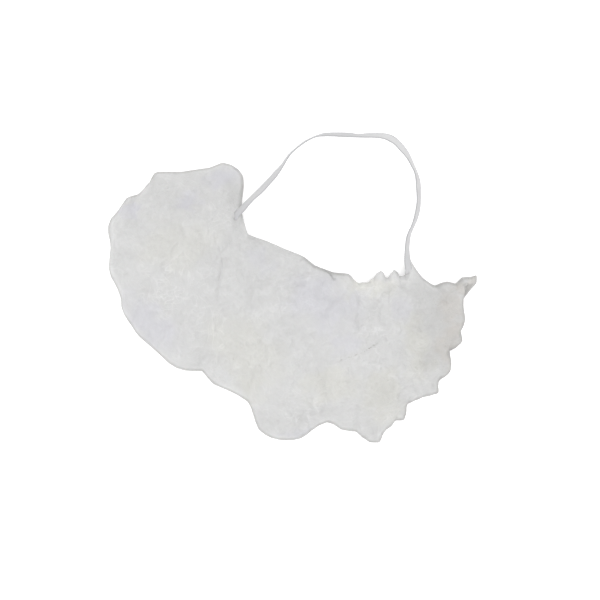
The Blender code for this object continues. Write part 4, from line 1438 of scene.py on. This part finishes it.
def cloth_material():
    """Spunbond cloth: cloudy web, crossing fibres, a lattice of bond points,
    fine wrinkles, light lines where it was sharply folded, partly whitening and partly painted
    highlight, and painted shade in patches, along the outline, in hollows and folds, and under the
    tip's fold."""
    material, tree, shader = new_material("nonwoven_finish")
    shader.inputs["Roughness"].default_value = 0.80
    shader.inputs["Subsurface Weight"].default_value = 0.7      # light passes through
    shader.inputs["Subsurface Radius"].default_value = (1.0, 1.0, 1.0)
    shader.inputs["Subsurface Scale"].default_value = 0.0006
    shader.inputs["Sheen Weight"].default_value = 0.10
    shader.inputs["Sheen Roughness"].default_value = 0.6
    place = node(tree, "ShaderNodeTexCoord").outputs["Object"]
    uv = node(tree, "ShaderNodeUVMap", uv_map="Cloth").outputs["UV"]

    def pair(name):
        made = node(tree, "ShaderNodeSeparateXYZ")
        link(tree, node(tree, "ShaderNodeUVMap", uv_map=name).outputs["UV"], made.inputs[0])
        return made.outputs[0], made.outputs[1]

    ridge, lively = pair("Creases")
    cool, cream = pair("Tints")
    end, shade = pair("End")

    def noise(vector, scale, detail=3.0, distortion=0.0, kind="FBM", rough=0.5):
        made = node(tree, "ShaderNodeTexNoise", noise_type=kind, Scale=scale,
                    Detail=detail, Distortion=distortion)
        made.inputs["Roughness"].default_value = rough
        if kind == "RIDGED_MULTIFRACTAL":
            made.inputs["Offset"].default_value = 1.0      # its ridges are lines
        link(tree, vector, made.inputs["Vector"])
        return made.outputs["Fac"]

    def math_node(kind, a, b=None, c=None, clamp=False):
        made = node(tree, "ShaderNodeMath", operation=kind, use_clamp=clamp)
        for k, value in enumerate((a, b, c)):
            if value is None:
                continue
            if isinstance(value, (int, float)):
                made.inputs[k].default_value = value
            else:
                link(tree, value, made.inputs[k])
        return made.outputs[0]

    def ramp(fac, lo, hi, a=0.0, b=1.0):
        made = node(tree, "ShaderNodeMapRange", interpolation_type="SMOOTHSTEP")
        link(tree, fac, made.inputs["Value"])
        made.inputs["From Min"].default_value = lo
        made.inputs["From Max"].default_value = hi
        made.inputs["To Min"].default_value = a
        made.inputs["To Max"].default_value = b
        return made.outputs["Result"]

    def mix(fac, a, b, kind="MIX"):
        made = node(tree, "ShaderNodeMix", data_type="RGBA", blend_type=kind)
        for k, value in ((0, fac), (6, a), (7, b)):
            if isinstance(value, (int, float)):
                made.inputs[k].default_value = value
            elif isinstance(value, tuple):
                made.inputs[k].default_value = (*value, 1.0)
            else:
                link(tree, value, made.inputs[k])
        return made.outputs[2]

    def turned(vector, angle, stretch, shift=(0.0, 0.0, 0.0)):
        made = node(tree, "ShaderNodeMapping", vector_type="TEXTURE")
        made.inputs["Location"].default_value = shift
        made.inputs["Rotation"].default_value = (0.0, 0.0, angle)
        made.inputs["Scale"].default_value = stretch
        link(tree, vector, made.inputs["Vector"])
        return made.outputs["Vector"]

    def wander(vector, scale, by):
        """The coordinates, pushed about by noise."""
        made = node(tree, "ShaderNodeTexNoise", Scale=scale, Detail=2.0)
        link(tree, vector, made.inputs["Vector"])
        off = node(tree, "ShaderNodeVectorMath", operation="SUBTRACT")
        link(tree, made.outputs["Color"], off.inputs[0])
        off.inputs[1].default_value = (0.5, 0.5, 0.5)
        out = node(tree, "ShaderNodeVectorMath", operation="MULTIPLY_ADD")
        link(tree, off.outputs[0], out.inputs[0])
        out.inputs[1].default_value = (by, by, by)
        link(tree, vector, out.inputs[2])
        return out.outputs[0]

    def spots(table, vector, inner):
        """Thin ellipses seen from above."""
        total = None
        for row in table:
            local = turned(vector, math.radians(row.turn), (row.rx * MM, row.ry * MM, 1.0),
                           (row.x * MM, row.y * MM, 0.0))
            flat = node(tree, "ShaderNodeVectorMath", operation="MULTIPLY")
            flat.inputs[1].default_value = (1.0, 1.0, 0.0)
            link(tree, local, flat.inputs[0])
            away = node(tree, "ShaderNodeVectorMath", operation="LENGTH")
            link(tree, flat.outputs[0], away.inputs[0])
            fall = ramp(away.outputs["Value"], 1.15, inner, 0.0, row.share)
            total = fall if total is None else math_node("MAXIMUM", total, fall)
        return total

    # fibres: long thin streaks in four directions
    fibres = None
    for k, angle in enumerate((0.2, 1.0, 1.9, 2.7)):
        streak = noise(turned(uv, angle, (9.0, 1.0, 1.0)), 1500.0 + 170 * k, 2.0, 0.3)
        streak = ramp(streak, 0.50, 0.72)
        fibres = streak if fibres is None else math_node("MAXIMUM", fibres, streak)

    # bond points: rows of small ovals, every other row shifted by half
    pitch = 0.00125
    grid = node(tree, "ShaderNodeSeparateXYZ")
    link(tree, uv, grid.inputs[0])
    u = math_node("DIVIDE", grid.outputs[0], pitch)
    v = math_node("DIVIDE", grid.outputs[1], pitch * 0.62)
    row = math_node("FLOOR", v)
    shift = math_node("MULTIPLY", math_node("MODULO", math_node("ABSOLUTE", row), 2.0), 0.5)
    cu = math_node("SUBTRACT", math_node("FRACT", math_node("ADD", u, shift)), 0.5)
    cv = math_node("SUBTRACT", math_node("FRACT", v), 0.5)
    round_off = math_node("ADD", math_node("MULTIPLY", cu, cu),
                          math_node("MULTIPLY", math_node("MULTIPLY", cv, cv), 0.42))
    bonds = ramp(round_off, 0.030, 0.075, 1.0, 0.0)

    shade_and_marks = spots(FOLD_SHADE_AND_SPECKS, wander(place, 260.0, 0.0012), 0.5)
    busy = math_node("SUBTRACT", 1.0, math_node("MULTIPLY", cool, 0.45))
    lively = math_node("MULTIPLY", lively, busy)

    # short light streaks along pinched creases, in clusters: partly whitening of the folds, partly
    # painted highlight
    streaks = None
    for k, angle in enumerate((0.35, 1.45, 2.45)):
        lines = noise(turned(wander(place, 80.0 + 15 * k, 0.0045), angle, (4.2, 1.0, 1.0)),
                      240.0 + 35 * k, 0.0, 0.0, "RIDGED_MULTIFRACTAL")
        lines = ramp(lines, 0.76, 0.98)
        patch = ramp(noise(place, 75.0 + 12 * k, 2.0, 0.4), 0.52, 0.62)
        lines = math_node("MULTIPLY", lines, patch)
        streaks = lines if streaks is None else math_node("MAXIMUM", streaks, lines)
    streaks = math_node("MULTIPLY", streaks, lively)

    # small dense squiggles and facets, where it is busy
    fine = noise(wander(place, 260.0, 0.0025), 400.0, 0.0, 0.0, "RIDGED_MULTIFRACTAL")
    fine = math_node("MULTIPLY", ramp(fine, 0.66, 0.95), ramp(noise(place, 70.0, 2.0), 0.42, 0.58))
    fine = math_node("MULTIPLY", fine, lively)
    cells = node(tree, "ShaderNodeTexVoronoi", feature="F1", Scale=330.0)
    link(tree, wander(turned(place, 0.6, (1.5, 1.0, 1.0)), 180.0, 0.003), cells.inputs["Vector"])
    facets = cells.outputs["Distance"]

    cloud = noise(place, 95.0, 4.0, 0.4, rough=0.6)
    wrinkles = noise(place, 420.0, 3.0, 0.8, rough=0.62)
    crinkle = noise(place, 210.0, 2.0, 0.9, "RIDGED_MULTIFRACTAL")

    colour = mix(cool, CLOTH_PLAIN, CLOTH_COOL)
    colour = mix(cream, colour, CLOTH_CREAM)
    # warm painted shade at the right end, broken up by the cloud
    end = math_node("MULTIPLY", end, ramp(cloud, 0.30, 0.62, 0.6, 1.0))
    colour = mix(end, colour, CLOTH_WARM_END)
    # painted shade: broad patches, the outline, the back panel and hems, and the shadow under the
    # tip's fold
    colour = mix(shade, colour, CLOTH_SHADE)
    # thin dark marks: painted shade along the mouth's fold and under the tip's fold, a dotted
    # darker line, and two specks
    dots = ramp(noise(place, 900.0, 1.0), 0.46, 0.60)
    colour = mix(math_node("MULTIPLY", shade_and_marks, dots), colour, CLOTH_FOLD_SHADE_AND_SPECK)

    tone = math_node("ADD", ramp(cloud, 0.25, 0.75, 0.975, 1.015),
                     math_node("MULTIPLY", streaks, STREAK_TONE))
    tone = math_node("ADD", tone, math_node("MULTIPLY", fine, FINE_TONE))
    # painted light on the ridges and the rim's right part, painted shade in the hollows
    tone = math_node("ADD", tone, math_node("MULTIPLY", ridge, RIDGE_TONE))
    tone = math_node("ADD", tone, math_node("MULTIPLY", fibres, 0.025))
    tone = math_node("SUBTRACT", tone, math_node("MULTIPLY", bonds, 0.025))
    level = node(tree, "ShaderNodeCombineXYZ")
    for k in range(3):
        link(tree, tone, level.inputs[k])
    link(tree, mix(1.0, colour, level.outputs[0], "MULTIPLY"), shader.inputs["Base Color"])
    rough = ramp(bonds, 0.0, 1.0, 0.82, 0.62)
    link(tree, rough, shader.inputs["Roughness"])

    def bump(height, distance, strength, under=None):
        made = node(tree, "ShaderNodeBump", Strength=strength, Distance=distance)
        link(tree, height, made.inputs["Height"])
        if under is not None:
            link(tree, under, made.inputs["Normal"])
        return made.outputs["Normal"]

    relief = bump(math_node("MULTIPLY", wrinkles, busy), 0.0008, 0.65)
    relief = bump(math_node("MULTIPLY", crinkle, busy), 0.0003, 0.5, relief)
    relief = bump(math_node("MULTIPLY", facets, busy), -0.0008, 0.5, relief)
    relief = bump(streaks, 0.00014, 0.6, relief)
    relief = bump(fine, 0.00008, 0.6, relief)
    relief = bump(shade_and_marks, -0.0004, 0.6, relief)
    relief = bump(fibres, 0.00004, 0.5, relief)
    relief = bump(bonds, -0.00005, 0.5, relief)
    link(tree, relief, shader.inputs["Normal"])
    return material


CLOTH_PLAIN = (0.520, 0.520, 0.519)
CLOTH_COOL = (0.498, 0.496, 0.523)
CLOTH_CREAM = (0.531, 0.529, 0.508)
CLOTH_WARM_END = (0.521, 0.500, 0.478)
CLOTH_SHADE = (0.300, 0.296, 0.287)
CLOTH_FOLD_SHADE_AND_SPECK = (0.34, 0.335, 0.32)
STREAK_TONE = 0.098
FINE_TONE = 0.045
RIDGE_TONE = 0.028


def lining_material():
    """The same cloth seen from inside the pouch: a weak glow stands for the
    light that comes through the thin cloth."""
    material = cloth_material()
    material.name = "nonwoven_inside"
    shader = material.node_tree.nodes["Principled BSDF"]
    shader.inputs["Emission Color"].default_value = (1.0, 0.99, 0.98, 1.0)
    shader.inputs["Emission Strength"].default_value = INSIDE_GLOW
    return material


INSIDE_GLOW = 0.16

pouch = build_pouch()
pouch.data.materials.append(cloth_material())
pouch.data.materials.append(lining_material())
strap, strap_path = build_strap()
strap.data.materials.append(strap_material())


def thread_finish():
    """Covered elastic: a fine yarn wound round a rubber core, in greys darker than the cloth:
    painted shade inside the hem.
    """
    material, tree, shader = new_material("elastic_finish")
    shader.inputs["Roughness"].default_value = 0.7
    place = node(tree, "ShaderNodeTexCoord").outputs["Object"]
    wound = node(tree, "ShaderNodeTexWave", bands_direction="DIAGONAL", Scale=900.0,
                 Distortion=1.5, Detail=1.0)
    link(tree, place, wound.inputs["Vector"])
    tones = node(tree, "ShaderNodeValToRGB")
    tones.color_ramp.elements[0].color = (0.36, 0.355, 0.345, 1.0)
    tones.color_ramp.elements[1].color = (0.47, 0.465, 0.455, 1.0)
    link(tree, wound.outputs["Fac"], tones.inputs["Fac"])
    link(tree, tones.outputs["Color"], shader.inputs["Base Color"])
    relief = node(tree, "ShaderNodeBump", Strength=0.5, Distance=0.0001)
    link(tree, wound.outputs["Fac"], relief.inputs["Height"])
    link(tree, relief.outputs["Normal"], shader.inputs["Normal"])
    return material


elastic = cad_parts["mouth_elastic"]
elastic.data.materials.clear()
elastic.data.materials.append(thread_finish())

# ------------------------------------------------------- floor, light, world
floor_mesh = bpy.data.meshes.new("floor")
floor_mesh.from_pydata([(-3, -3, 0), (3, -3, 0), (3, 3, 0), (-3, 3, 0)], [], [(0, 1, 2, 3)])
floor = bpy.data.objects.new("floor", floor_mesh)
bpy.context.scene.collection.objects.link(floor)
floor_material, floor_tree, floor_shader = new_material("floor_finish")
floor_shader.inputs["Base Color"].default_value = (0.97, 0.97, 0.97, 1.0)
floor_shader.inputs["Roughness"].default_value = 0.9
floor_shader.inputs["Emission Color"].default_value = (1.0, 1.0, 1.0, 1.0)
floor_shader.inputs["Emission Strength"].default_value = 0.24     # as a light table
floor_mesh.materials.append(floor_material)


def area_light(name, place, size, power, aim=(0.0, 0.0, 0.0)):
    data = bpy.data.lights.new(name, "AREA")
    data.shape = "RECTANGLE"
    data.size, data.size_y = size
    data.energy = power
    light = bpy.data.objects.new(name, data)
    light.location = place
    light.rotation_mode = "QUATERNION"
    light.rotation_quaternion = (Vector(aim) - Vector(place)).to_track_quat("-Z", "Y")
    bpy.context.scene.collection.objects.link(light)
    return light


area_light("key", (-0.60, -0.75, 1.40), (0.7, 0.7), 5.0)
area_light("top", (0.2, 0.2, 1.6), (1.0, 1.0), 12.0)

world = bpy.data.worlds.new("studio")
bpy.context.scene.world = world
world.use_nodes = True
background = world.node_tree.nodes["Background"]
background.inputs["Color"].default_value = (1.0, 1.0, 1.0, 1.0)
background.inputs["Strength"].default_value = 0.88

scene = bpy.context.scene
scene.view_settings.view_transform = "Standard"
scene.view_settings.look = "None"
scene.view_settings.exposure = 0.0
scene.view_settings.gamma = 1.0

# ------------------------------------------------------------- declarations
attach(strap, "root")
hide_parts("head_strap")

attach(pouch, "root")
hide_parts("pouch")
